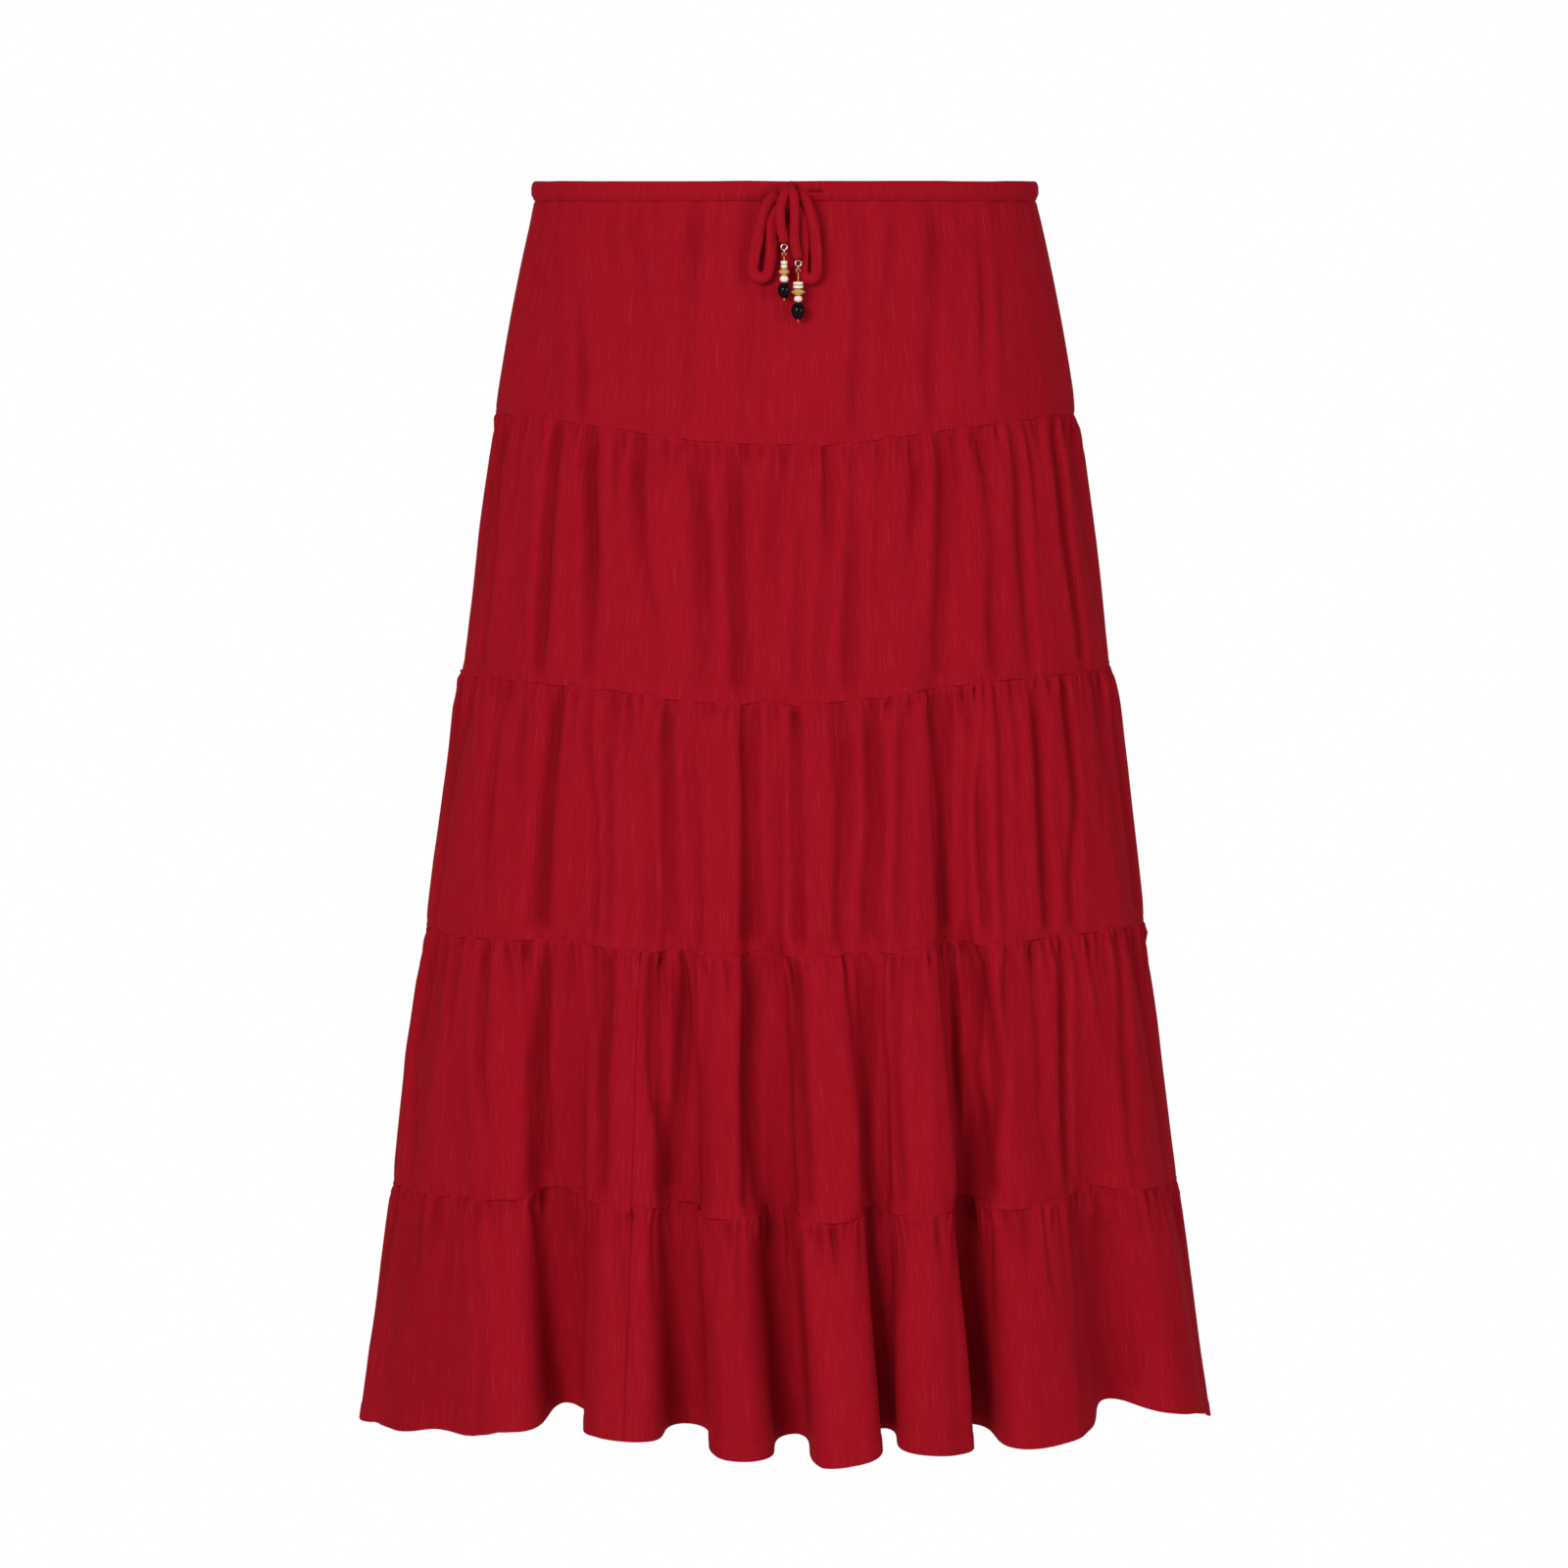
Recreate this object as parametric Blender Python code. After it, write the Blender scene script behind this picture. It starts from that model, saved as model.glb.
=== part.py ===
"""Tiered midi skirt with a drawstring waist, filled out and hanging from its waist.

Metres, +Z up, the wearer's front towards -Y and the viewer's right towards +X. The origin is
the middle of the waist opening, at half the height of the casing.

The cloth is one surface, read at two places: `around`, counted in folds from the left side
across the front and back again, and `level`, 0 under the casing, 1 to 4 at the seams and 5 at
the hem. Every tier, half and seam takes its points from that surface.
"""

import math
from collections import namedtuple

import bmesh
import bpy
import numpy as np
from mathutils import Vector

MM = 0.001

# ------------------------------------------------------------------ driving dimensions, mm
CLOTH = 1.6  # the wall of every panel
SEAM_GAP = 0.3  # between two pieces that are sewn together
PINCH = 1.8  # how far a seam draws the cloth in
PINCH_REACH = 5.0  # how fast the cloth comes out again above and below a seam
GATHER_REACH = 34.0  # how fast the gathers below a seam die out
FOLD_POWER = 1.7  # the folds deepen with this power of the drop

CASING_HALF_HEIGHT = 6.5
CASING_HALF_THICK = 3.4
CASING_HALF_WIDTH = 166.9
CASING_HALF_DEPTH = 105.0
CASING_SQUARENESS = 0.75
CASING_STEPS = 64
CASING_SIDES = 8

TIE_WIDTH = 6.2
KNOT_HALF_SIZE = (5.6, 4.4, 5.4)
KNOT_PLACE = (1.9, -109.8, -0.6)

RING_RADIUS = 1.9
RING_WIRE = 0.4
LINK_RADIUS = 1.7
LINK_WIRE = 0.35
PIN_WIRE = 0.35
EYE_RADIUS = 1.25
BORE = 0.7  # radius of the hole through a bead
RING_STEPS = 12
WIRE_SIDES = 6

Level = namedtuple("Level", "height half_width half_depth dip sharpness tilt")
LEVELS = (
    # height, half width and depth to the crests, how much lower the front middle hangs, how
    # narrow that dip is, and how much higher the right side is than the middle
    Level(-6.8, 165.2, 103.2, 0.0, 3, 0.0),
    Level(-146.0, 191.6, 119.0, 17.0, 4, 0.0),
    Level(-315.5, 215.2, 133.0, 14.0, 6, 2.5),
    Level(-484.2, 238.8, 146.0, 7.5, 5, 2.0),
    Level(-655.4, 261.8, 158.0, 5.5, 6, 0.5),
    Level(-808.5, 283.8, 170.0, 8.0, 5, 0.0),
)

Tier = namedtuple("Tier", "name gathers gather bulge rows")
TIERS = (
    # gathers to a fold, their height, how far the middle of the tier stands out from a straight
    # flare, and where its rows of points are, closer where the gathers are
    Tier("yoke", 2.0, 0.9, 1.6, (0.0, 0.06, 0.45, 1.0)),
    Tier("tier_2", 2.0, 1.3, 0.6, (0.0, 0.06, 0.40, 1.0)),
    Tier("tier_3", 2.0, 1.6, 0.5, (0.0, 0.05, 0.30, 0.64, 1.0)),
    Tier("tier_4", 2.0, 2.0, 0.5, (0.0, 0.05, 0.28, 0.62, 1.0)),
    Tier("tier_5", 8 / 3, 2.2, 0.5, (0.0, 0.05, 0.28, 0.62, 1.0)),
)
FOLD_COLUMNS = 8  # columns of points to a fold, the same in every tier so that seams match

Fold = namedtuple("Fold", "top hem depth lift drop floor steep lean start")
FOLDS = (
    # Crest angle at the third seam and at the hem (degrees, 0 at the front, 90 at the right),
    # then the valley that follows: its depth, how much higher its hem is, how much lower the
    # crest hangs, the valley floor's share of the pitch, how upright its flanks are, how far
    # it leans, and the level where it starts.
    Fold(-88.0, -84.0, 4.0, 0.0, 4.0, 0.45, 0.00, 0.00, 2.0),
    Fold(-66.0, -64.0, 9.0, 1.5, 3.5, 0.45, 0.10, 0.00, 2.6),
    Fold(-54.0, -42.5, 58.0, 20.0, -4.0, 0.34, 1.00, -0.08, 2.0),
    Fold(-23.0, -21.6, 50.0, 15.0, -9.0, 0.41, 1.00, -0.02, 2.0),
    Fold(-11.0, -5.9, 54.0, 10.0, -1.0, 0.34, 1.05, 0.02, 1.0),
    Fold(4.0, 8.2, 50.0, 10.0, 2.5, 0.18, 1.20, 0.04, 2.0),
    Fold(20.5, 20.6, 62.0, 9.0, -1.5, 0.34, 1.15, 0.03, 1.0),
    Fold(36.0, 36.4, 40.0, 14.0, 0.5, 0.36, 0.20, 0.08, 2.4),
    Fold(64.0, 71.5, 8.0, 2.0, -3.0, 0.45, 0.20, 0.00, 2.0),
    Fold(92.0, 92.0, 26.0, 6.0, 5.0, 0.42, 0.70, 0.00, 2.0),
    Fold(114.0, 113.0, 40.0, 8.0, 2.0, 0.36, 0.95, -0.04, 2.0),
    Fold(136.0, 134.0, 50.0, 9.0, -3.0, 0.30, 1.05, 0.03, 1.6),
    Fold(156.0, 157.0, 54.0, 10.0, 2.0, 0.34, 1.05, -0.03, 1.4),
    Fold(178.0, 177.0, 48.0, 9.0, -2.0, 0.40, 1.00, 0.04, 2.0),
    Fold(198.0, 200.0, 56.0, 10.0, 1.0, 0.26, 1.10, -0.02, 1.2),
    Fold(221.0, 223.0, 46.0, 9.0, -3.0, 0.40, 0.95, 0.05, 2.0),
    Fold(246.0, 248.0, 34.0, 7.0, 0.0, 0.42, 0.80, 0.00, 2.0),
)
RIGHT_SIDE = 9  # the crests where the front halves meet the back ones
PANEL_JOIN = 3  # the crest where two lengths of cloth are joined in the lower two tiers

# The route of each tie from the knot, in mm: x to the right, y towards the back, z up.
BOW_LOOP_LEFT = (
    (-4.6, -111.0, -2.0),
    (-8.8, -111.6, -5.2),
    (-12.6, -112.0, -11.5),
    (-15.6, -112.4, -21.0),
    (-17.8, -113.0, -32.0),
    (-19.8, -113.7, -42.0),
    (-20.8, -114.3, -50.1),
    (-19.2, -114.7, -53.9),
    (-15.4, -114.9, -55.5),
    (-11.6, -114.8, -53.9),
    (-10.0, -114.5, -50.1),
    (-9.0, -113.9, -42.0),
    (-8.6, -113.4, -32.0),
    (-8.0, -113.0, -21.0),
    (-5.2, -112.3, -13.6),
    (-2.4, -111.9, -9.4),
)
BOW_LOOP_RIGHT = (
    (8.4, -111.0, -2.0),
    (12.2, -111.6, -5.4),
    (15.6, -112.0, -12.5),
    (18.2, -112.4, -22.0),
    (19.6, -113.0, -33.5),
    (20.2, -113.7, -43.0),
    (20.0, -114.3, -51.7),
    (18.7, -114.8, -54.8),
    (15.6, -115.0, -56.1),
    (12.5, -114.9, -54.8),
    (11.2, -114.5, -51.7),
    (11.4, -113.9, -43.0),
    (11.8, -113.4, -33.5),
    (10.8, -113.0, -22.0),
    (8.2, -112.4, -14.2),
    (5.8, -111.9, -9.8),
)
TIE_END_LEFT = (
    (-1.2, -117.8, -4.0),
    (-2.8, -118.8, -9.6),
    (-3.1, -119.4, -17.0),
    (-2.4, -119.8, -24.0),
    (-1.2, -119.8, -29.0),
    (-0.6, -119.8, -33.2),
)
TIE_END_RIGHT = (
    (5.6, -117.8, -3.6),
    (6.1, -118.8, -9.6),
    (6.2, -119.6, -19.0),
    (5.9, -120.0, -30.0),
    (7.0, -120.0, -37.6),
    (8.4, -120.0, -43.6),
)
SMOOTHING = 8  # points read from the smooth curve between two points of a route
CORD_SPACING = 1.15  # diameters between two points of a tube

Charm = namedtuple("Charm", "side tie gap_to_beads beads")
Bead = namedtuple("Bead", "name shape radius height")
CHARMS = (
    Charm(
        "left",
        TIE_END_LEFT,
        2.6,
        (
            Bead("disc_1", "disc", 2.0, 2.2),
            Bead("disc_2", "disc", 2.0, 2.2),
            Bead("saucer", "saucer", 3.6, 4.1),
            Bead("spacer", "round", 2.7, 4.4),
            Bead("drop", "oval", 4.0, 10.0),
        ),
    ),
    Charm(
        "right",
        TIE_END_RIGHT,
        5.6,
        (
            Bead("disc_1", "disc", 3.1, 2.0),
            Bead("disc_2", "disc", 3.1, 2.0),
            Bead("saucer", "saucer", 4.5, 4.0),
            Bead("spacer", "round", 2.6, 4.1),
            Bead("drop", "oval", 4.3, 11.0),
        ),
    ),
)
# Half sections of the beads: shares of the radius and of the height, from the top down.
BEAD_SECTIONS = {
    "disc": ((0.86, 0.0), (1.0, 0.2), (1.0, 0.8), (0.86, 1.0)),
    "saucer": ((0.42, 0.0), (0.80, 0.34), (1.0, 0.5), (0.80, 0.66), (0.42, 1.0)),
    "round": ((0.55, 0.0), (0.9, 0.2), (1.0, 0.5), (0.9, 0.8), (0.55, 1.0)),
    "oval": ((0.32, 0.0), (0.76, 0.13), (1.0, 0.42), (0.95, 0.62), (0.66, 0.87), (0.3, 1.0)),
}
BEAD_STEPS = 12

# ------------------------------------------------------------------ finishes
Finish = namedtuple("Finish", "colour roughness metallic")
RED_CLOTH = Finish((0.33, 0.008, 0.016), 0.85, 0.0)
WHITE_SHELL = Finish((0.78, 0.74, 0.66), 0.45, 0.0)
TAN_HORN = Finish((0.55, 0.32, 0.10), 0.50, 0.0)
BLACK_GLASS = Finish((0.008, 0.008, 0.009), 0.08, 0.0)
SILVER = Finish((0.80, 0.78, 0.76), 0.25, 1.0)
GOLD = Finish((0.85, 0.62, 0.28), 0.28, 1.0)
BEAD_FINISHES = {"disc": WHITE_SHELL, "saucer": TAN_HORN, "round": WHITE_SHELL, "oval": BLACK_GLASS}


def clear_scene():
    """Take away whatever the file opened with."""
    for thing in list(bpy.data.objects):
        bpy.data.objects.remove(thing, do_unlink=True)


def material(name, finish):
    """A plain finish of its own for one piece."""
    made = bpy.data.materials.new(name)
    made.use_nodes = True
    shader = made.node_tree.nodes["Principled BSDF"]
    shader.inputs["Base Color"].default_value = (*finish.colour, 1.0)
    shader.inputs["Roughness"].default_value = finish.roughness
    shader.inputs["Metallic"].default_value = finish.metallic
    return made


# ------------------------------------------------------------------ the cloth's surface
def column(rows, field):
    """One named column of a table."""
    return np.array([getattr(row, field) for row in rows], float)


def between(rows, field, level):
    """A column of the level table, read in a straight line between two levels."""
    return np.interp(level, np.arange(len(rows)), column(rows, field))


def crest_angle(number, level):
    """The angle of a crest, counted on past a full turn, at a level."""
    turns, number = np.divmod(number, len(FOLDS))
    top = column(FOLDS, "top")[number]
    hem = column(FOLDS, "hem")[number]
    share = np.clip((level - 3.0) / 2.0, 0.0, 1.0)
    return np.radians(top + (hem - top) * share + 360.0 * turns)


def cloth_point(around, level, tier):
    """The points of a tier without its gathers, in mm, for arrays of places and levels."""
    number = np.floor(around).astype(int)
    part = around - number
    row = {field: column(FOLDS, field)[number % len(FOLDS)] for field in Fold._fields}
    grown = np.clip((level - row["start"]) / (5.0 - row["start"]), 0.0, 1.0)
    deep = grown**FOLD_POWER

    wider = math.pi * (0.5 - row["floor"]) * grown
    across = part + row["steep"] * np.sqrt(grown) * np.sin(4 * math.pi * part) / (4 * math.pi)
    across += wider * np.sin(2 * math.pi * part) / (2 * math.pi)
    across += row["lean"] * grown * np.sin(math.pi * part) ** 2
    here, after = crest_angle(number, level), crest_angle(number + 1, level)
    angle = here + (after - here) * across
    inward = (1 - np.cos(2 * math.pi * part)) / 2

    height = between(LEVELS, "height", level)
    front = np.maximum(np.cos(angle), 0.0)
    height = height - between(LEVELS, "dip", level) * front ** between(LEVELS, "sharpness", level)
    height = height + between(LEVELS, "tilt", level) * np.sin(angle)
    next_drop = column(FOLDS, "drop")[(number + 1) % len(FOLDS)]
    blend = part * part * (3 - 2 * part)
    drop = row["drop"] + (next_drop - row["drop"]) * blend
    height = height + deep * (row["lift"] * inward - drop * (1 - inward))

    down = np.clip(level - tier, 0.0, 1.0)
    tall = LEVELS[tier].height - LEVELS[tier + 1].height
    below, above = down * tall, (1 - down) * tall
    about = TIERS[tier]
    out = about.bulge * 4 * down * (1 - down) - PINCH * np.exp(-below / PINCH_REACH)
    if tier + 2 < len(LEVELS):
        out = out - PINCH * np.exp(-above / PINCH_REACH)
    out = out - row["depth"] * deep * inward

    wide, thick = between(LEVELS, "half_width", level), between(LEVELS, "half_depth", level)
    normal = np.stack([np.sin(angle) / wide, -np.cos(angle) / thick], -1)
    normal = normal / np.linalg.norm(normal, axis=-1, keepdims=True)
    x = wide * np.sin(angle) + out * normal[..., 0]
    y = -thick * np.cos(angle) + out * normal[..., 1]
    return np.stack([x, y, height], -1)


def cloth_wall(around, level, tier):
    """The outer points of a tier and the inner ones, one wall further in, in mm."""
    middle = cloth_point(around, level, tier)
    step = 1e-3
    run = cloth_point(around + step, level, tier) - cloth_point(around - step, level, tier)
    across = np.stack([run[..., 1], -run[..., 0]], -1)
    across = across / np.linalg.norm(across, axis=-1, keepdims=True)

    about = TIERS[tier]
    below = (level - tier) * (LEVELS[tier].height - LEVELS[tier + 1].height)
    gather = about.gather * np.cos(2 * math.pi * about.gathers * around)
    gather = (gather * np.exp(-below / GATHER_REACH))[..., None]
    outer, inner = middle.copy(), middle.copy()
    outer[..., :2] += across * gather
    inner[..., :2] += across * (gather - CLOTH)
    return outer, inner


def finish_object(name, mesh, finish, sharp=50.0):
    """Put a mesh in the scene as one named piece with a finish of its own."""
    mesh.materials.append(material(name, finish))
    mesh.shade_smooth()
    mesh.set_sharp_from_angle(angle=math.radians(sharp))
    piece = bpy.data.objects.new(name, mesh)
    bpy.context.scene.collection.objects.link(piece)
    return piece


def mesh_from(name, sculpted):
    """A mesh from a bmesh whose faces are turned outwards."""
    bmesh.ops.recalc_face_normals(sculpted, faces=sculpted.faces)
    if sculpted.calc_volume(signed=True) < 0:
        bmesh.ops.reverse_faces(sculpted, faces=sculpted.faces)
    mesh = bpy.data.meshes.new(name)
    sculpted.to_mesh(mesh)
    sculpted.free()
    return mesh


def seam_shift(crest, level, tier):
    """How far from a crest a piece ends, in folds, to leave its half of the gap at a side seam."""
    step = 1e-3
    run = cloth_point(crest + step, level, tier) - cloth_point(crest - step, level, tier)
    return SEAM_GAP / 2 * 2 * step / np.linalg.norm(run, axis=-1)


def panel(name, tier, first, last):
    """A sewn panel: a flat grid, thickened and bent into a tier from crest `first` to `last`."""
    rows = TIERS[tier].rows
    columns = FOLD_COLUMNS * (last - first)
    sculpted = bmesh.new()
    bmesh.ops.create_grid(sculpted, x_segments=columns, y_segments=len(rows) - 1, size=0.5)
    doubled = bmesh.ops.extrude_face_region(sculpted, geom=sculpted.faces[:])
    inside = {item for item in doubled["geom"] if isinstance(item, bmesh.types.BMVert)}

    flat = np.array([vert.co[:2] for vert in sculpted.verts]) + 0.5
    down = np.interp(flat[:, 1], np.linspace(0.0, 1.0, len(rows)), rows)
    level = tier + down
    start = first + seam_shift(np.full_like(level, first), level, tier)
    end = last - seam_shift(np.full_like(level, last), level, tier)
    outer, inner = cloth_wall(start + flat[:, 0] * (end - start), level, tier)
    lower = (SEAM_GAP / 2) * (1 - 2 * down)
    for vert, out, within, shift in zip(sculpted.verts, outer, inner, lower):
        place = within if vert in inside else out
        vert.co = Vector(place) * MM - Vector((0.0, 0.0, shift * MM))
    return finish_object(name, mesh_from(name, sculpted), RED_CLOTH)


def build_panels():
    """The five tiers, each in a front and a back, the lower two with a joined front."""
    whole = len(FOLDS)
    for tier, about in enumerate(TIERS):
        if tier < 3:
            panel(f"{about.name}_front", tier, 0, RIGHT_SIDE)
        else:
            panel(f"{about.name}_front_left", tier, 0, PANEL_JOIN)
            panel(f"{about.name}_front_right", tier, PANEL_JOIN, RIGHT_SIDE)
        panel(f"{about.name}_back", tier, RIGHT_SIDE, whole)


# ------------------------------------------------------------------ the waist
def signed_power(value, power):
    """A power that keeps the sign."""
    return math.copysign(abs(value) ** power, value)


def build_casing():
    """The drawstring casing: a rounded section carried once around the waist."""
    sculpted = bmesh.new()
    sections = []
    for step in range(CASING_STEPS):
        turn = 2 * math.pi * step / CASING_STEPS
        ring = []
        for side in range(CASING_SIDES):
            lap = 2 * math.pi * (side + 0.5) / CASING_SIDES
            out = CASING_HALF_THICK * (signed_power(math.cos(lap), CASING_SQUARENESS) - 1)
            up = CASING_HALF_HEIGHT * signed_power(math.sin(lap), CASING_SQUARENESS)
            x = (CASING_HALF_WIDTH + out) * math.sin(turn)
            y = -(CASING_HALF_DEPTH + out) * math.cos(turn)
            ring.append(sculpted.verts.new((x * MM, y * MM, up * MM)))
        edges = [
            sculpted.edges.new((ring[side], ring[(side + 1) % CASING_SIDES]))
            for side in range(CASING_SIDES)
        ]
        sections.append(edges)
    for step in range(CASING_STEPS):
        pair = sections[step] + sections[(step + 1) % CASING_STEPS]
        bmesh.ops.bridge_loops(sculpted, edges=pair)
    return finish_object("waist_casing", mesh_from("waist_casing", sculpted), RED_CLOTH)


def build_knot():
    """The knot of the bow, on the front of the casing."""
    sculpted = bmesh.new()
    bmesh.ops.create_icosphere(sculpted, subdivisions=2, radius=1.0)
    for vert in sculpted.verts:
        vert.co = Vector(
            [(size * along + place) * MM for size, along, place in zip(KNOT_HALF_SIZE, vert.co, KNOT_PLACE)]
        )
    return finish_object("bow_knot", mesh_from("bow_knot", sculpted), RED_CLOTH)


def smooth_route(route):
    """Points of a Catmull-Rom curve through a route, close together."""
    points = [Vector(point) for point in route]
    ends = [2 * points[0] - points[1], *points, 2 * points[-1] - points[-2]]
    found = []
    for before, here, after, beyond in zip(ends, ends[1:], ends[2:], ends[3:]):
        for step in range(SMOOTHING):
            t = step / SMOOTHING
            found.append(
                0.5
                * (
                    2 * here
                    + (after - before) * t
                    + (2 * before - 5 * here + 4 * after - beyond) * t**2
                    + (3 * here - before - 3 * after + beyond) * t**3
                )
            )
    found.append(points[-1])
    return found


def even_points(points, spacing):
    """The same curve as points an even spacing apart."""
    line = np.array([tuple(point) for point in points])
    along = np.concatenate([[0.0], np.cumsum(np.linalg.norm(np.diff(line, axis=0), axis=1))])
    count = max(int(round(along[-1] / spacing)), 2) + 1
    places = np.linspace(0.0, along[-1], count)
    return np.stack([np.interp(places, along, line[:, axis]) for axis in range(3)], -1)


def tube(name, points, diameter, finish, resolution=2):
    """A round tube with closed ends along points in mm."""
    curve = bpy.data.curves.new(name, "CURVE")
    curve.dimensions = "3D"
    curve.bevel_depth = diameter / 2 * MM
    curve.bevel_resolution = resolution
    curve.use_fill_caps = True
    spline = curve.splines.new("POLY")
    spline.points.add(len(points) - 1)
    for slot, point in zip(spline.points, points):
        slot.co = (*(float(value) * MM for value in point), 1.0)
    spline.use_smooth = True
    curve.materials.append(material(name, finish))
    piece = bpy.data.objects.new(name, curve)
    bpy.context.scene.collection.objects.link(piece)
    return piece


def build_ties():
    """The two loops of the bow and its two hanging ends."""
    routes = {
        "bow_loop_left": BOW_LOOP_LEFT,
        "bow_loop_right": BOW_LOOP_RIGHT,
        "tie_end_left": TIE_END_LEFT,
        "tie_end_right": TIE_END_RIGHT,
    }
    for name, route in routes.items():
        points = even_points(smooth_route(route), TIE_WIDTH * CORD_SPACING)
        tube(name, points, TIE_WIDTH, RED_CLOTH)


# ------------------------------------------------------------------ the bead charms
def ring(name, centre, radius, wire, faces_front):
    """A closed wire ring, facing the front or edge-on to it."""
    turned = (math.pi / 2, 0.0, 0.0) if faces_front else (0.0, math.pi / 2, 0.0)
    bpy.ops.mesh.primitive_torus_add(
        major_segments=RING_STEPS,
        minor_segments=WIRE_SIDES,
        major_radius=radius * MM,
        minor_radius=wire * MM,
    )
    piece = bpy.context.object
    piece.name = name
    piece.data.name = name
    piece.rotation_euler = turned
    piece.location = Vector(centre) * MM
    piece.data.materials.append(material(name, SILVER))
    piece.data.shade_smooth()
    return piece


def bead(name, about, x, y, top):
    """A bored bead, turned from its half section around an upright axis."""
    section = [(BORE, top)]
    section += [
        (about.radius * share, top - about.height * down)
        for share, down in BEAD_SECTIONS[about.shape]
    ]
    section += [(BORE, top - about.height)]
    sculpted = bmesh.new()
    corners = [sculpted.verts.new(((x + r) * MM, y * MM, z * MM)) for r, z in section]
    edges = [
        sculpted.edges.new((corner, corners[(place + 1) % len(corners)]))
        for place, corner in enumerate(corners)
    ]
    bmesh.ops.spin(
        sculpted,
        geom=corners + edges,
        cent=(x * MM, y * MM, 0.0),
        axis=(0.0, 0.0, 1.0),
        angle=2 * math.pi,
        steps=BEAD_STEPS,
        use_merge=True,
    )
    finish = BEAD_FINISHES[about.shape]
    return finish_object(name, mesh_from(name, sculpted), finish, sharp=40.0)


def eye_pin(name, x, y, eye_height, bottom):
    """The wire that carries the beads: an eye at its top, bent from the same wire."""
    open_turn = math.radians(55)
    start, end = -math.pi / 2 + open_turn, -math.pi / 2 + 2 * math.pi
    steps = 12
    points = []
    for step in range(steps + 1):
        turn = start + (end - start) * step / steps
        points.append(
            (x + EYE_RADIUS * math.cos(turn), y, eye_height + EYE_RADIUS * math.sin(turn))
        )
    points += [(x, y, eye_height - EYE_RADIUS - 0.8), (x, y, bottom)]
    return tube(name, points, 2 * PIN_WIRE, GOLD, resolution=1)


def build_charm(about):
    """One string of beads under the end of a tie: ring, link, eye pin and five beads."""
    x, y, tie_bottom = about.tie[-1]
    clear = RING_WIRE + LINK_WIRE + SEAM_GAP
    ring_height = tie_bottom - SEAM_GAP - RING_WIRE - RING_RADIUS
    link_height = ring_height - RING_RADIUS + clear - LINK_RADIUS
    eye_height = link_height - LINK_RADIUS + LINK_WIRE + PIN_WIRE + SEAM_GAP - EYE_RADIUS
    ring(f"charm_{about.side}_ring", (x, y, ring_height), RING_RADIUS, RING_WIRE, True)
    ring(f"charm_{about.side}_link", (x, y, link_height), LINK_RADIUS, LINK_WIRE, False)
    top = eye_height - EYE_RADIUS - PIN_WIRE - about.gap_to_beads
    for kind in about.beads:
        bead(f"charm_{about.side}_{kind.name}", kind, x, y, top)
        top -= kind.height + SEAM_GAP
    eye_pin(f"charm_{about.side}_pin", x, y, eye_height, top - 1.0)


def main():
    """Build the skirt."""
    clear_scene()
    build_panels()
    build_casing()
    build_knot()
    build_ties()
    for about in CHARMS:
        build_charm(about)


main()
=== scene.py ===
"""The looks of a tiered midi skirt with a beaded drawstring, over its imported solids.

Every tier is a thin gathered shell that lies on its solid's form. The main creases of the front
have a row each in a table, and seeded noise gives similar ones to the hidden sides. The bow is
four sewn ties that leave one knot, and two strings of beads hang from the free ends. Everything
is in metres, +Z up, the wearer's front towards -Y, with the origin in the middle of the waist
opening.
"""

import logging
import math
from dataclasses import dataclass, fields
from enum import Enum

import bmesh
import bpy
import numpy as np
from bpy.types import Material, Mesh, Node, NodeSocket, NodeTree, Object
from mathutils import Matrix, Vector


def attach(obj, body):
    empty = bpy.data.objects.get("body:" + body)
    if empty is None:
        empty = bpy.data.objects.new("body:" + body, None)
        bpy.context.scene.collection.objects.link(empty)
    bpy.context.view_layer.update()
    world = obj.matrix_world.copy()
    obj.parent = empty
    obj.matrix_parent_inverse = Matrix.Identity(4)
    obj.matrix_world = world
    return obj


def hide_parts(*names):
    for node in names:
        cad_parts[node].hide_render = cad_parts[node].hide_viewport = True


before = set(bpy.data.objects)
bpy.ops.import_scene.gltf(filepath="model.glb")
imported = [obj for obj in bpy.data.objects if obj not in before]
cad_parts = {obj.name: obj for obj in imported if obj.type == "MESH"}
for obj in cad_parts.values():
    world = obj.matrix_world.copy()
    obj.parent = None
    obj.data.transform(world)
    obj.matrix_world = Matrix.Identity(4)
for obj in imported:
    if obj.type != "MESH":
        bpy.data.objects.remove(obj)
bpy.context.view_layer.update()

LOG = logging.getLogger("skirt")
MM = 0.001
FULL_TURN = 2.0 * math.pi
Point = tuple[float, float, float]


# ------------------------ the form of the cloth
@dataclass(frozen=True)
class Level:
    """One seam line around the skirt, in millimetres: its height, half width and half depth,
    how much lower its front middle hangs, how narrow that dip is, and its tilt to the right."""

    height: float
    half_width: float
    half_depth: float
    dip: float
    sharpness: float
    tilt: float


@dataclass(frozen=True)
class Fold:
    """One fold: its crest's angle at the third seam and at the hem in degrees, then the valley
    that follows it, in millimetres and shares of the pitch."""

    top: float
    hem: float
    depth: float
    lift: float
    drop: float
    floor: float
    steep: float
    lean: float
    start: float


@dataclass(frozen=True)
class Tier:
    """One tier's name, its broad gathers (to a fold, and their height in millimetres), and how
    far its middle stands out."""

    name: str
    gathers: float
    gather: float
    bulge: float


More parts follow.
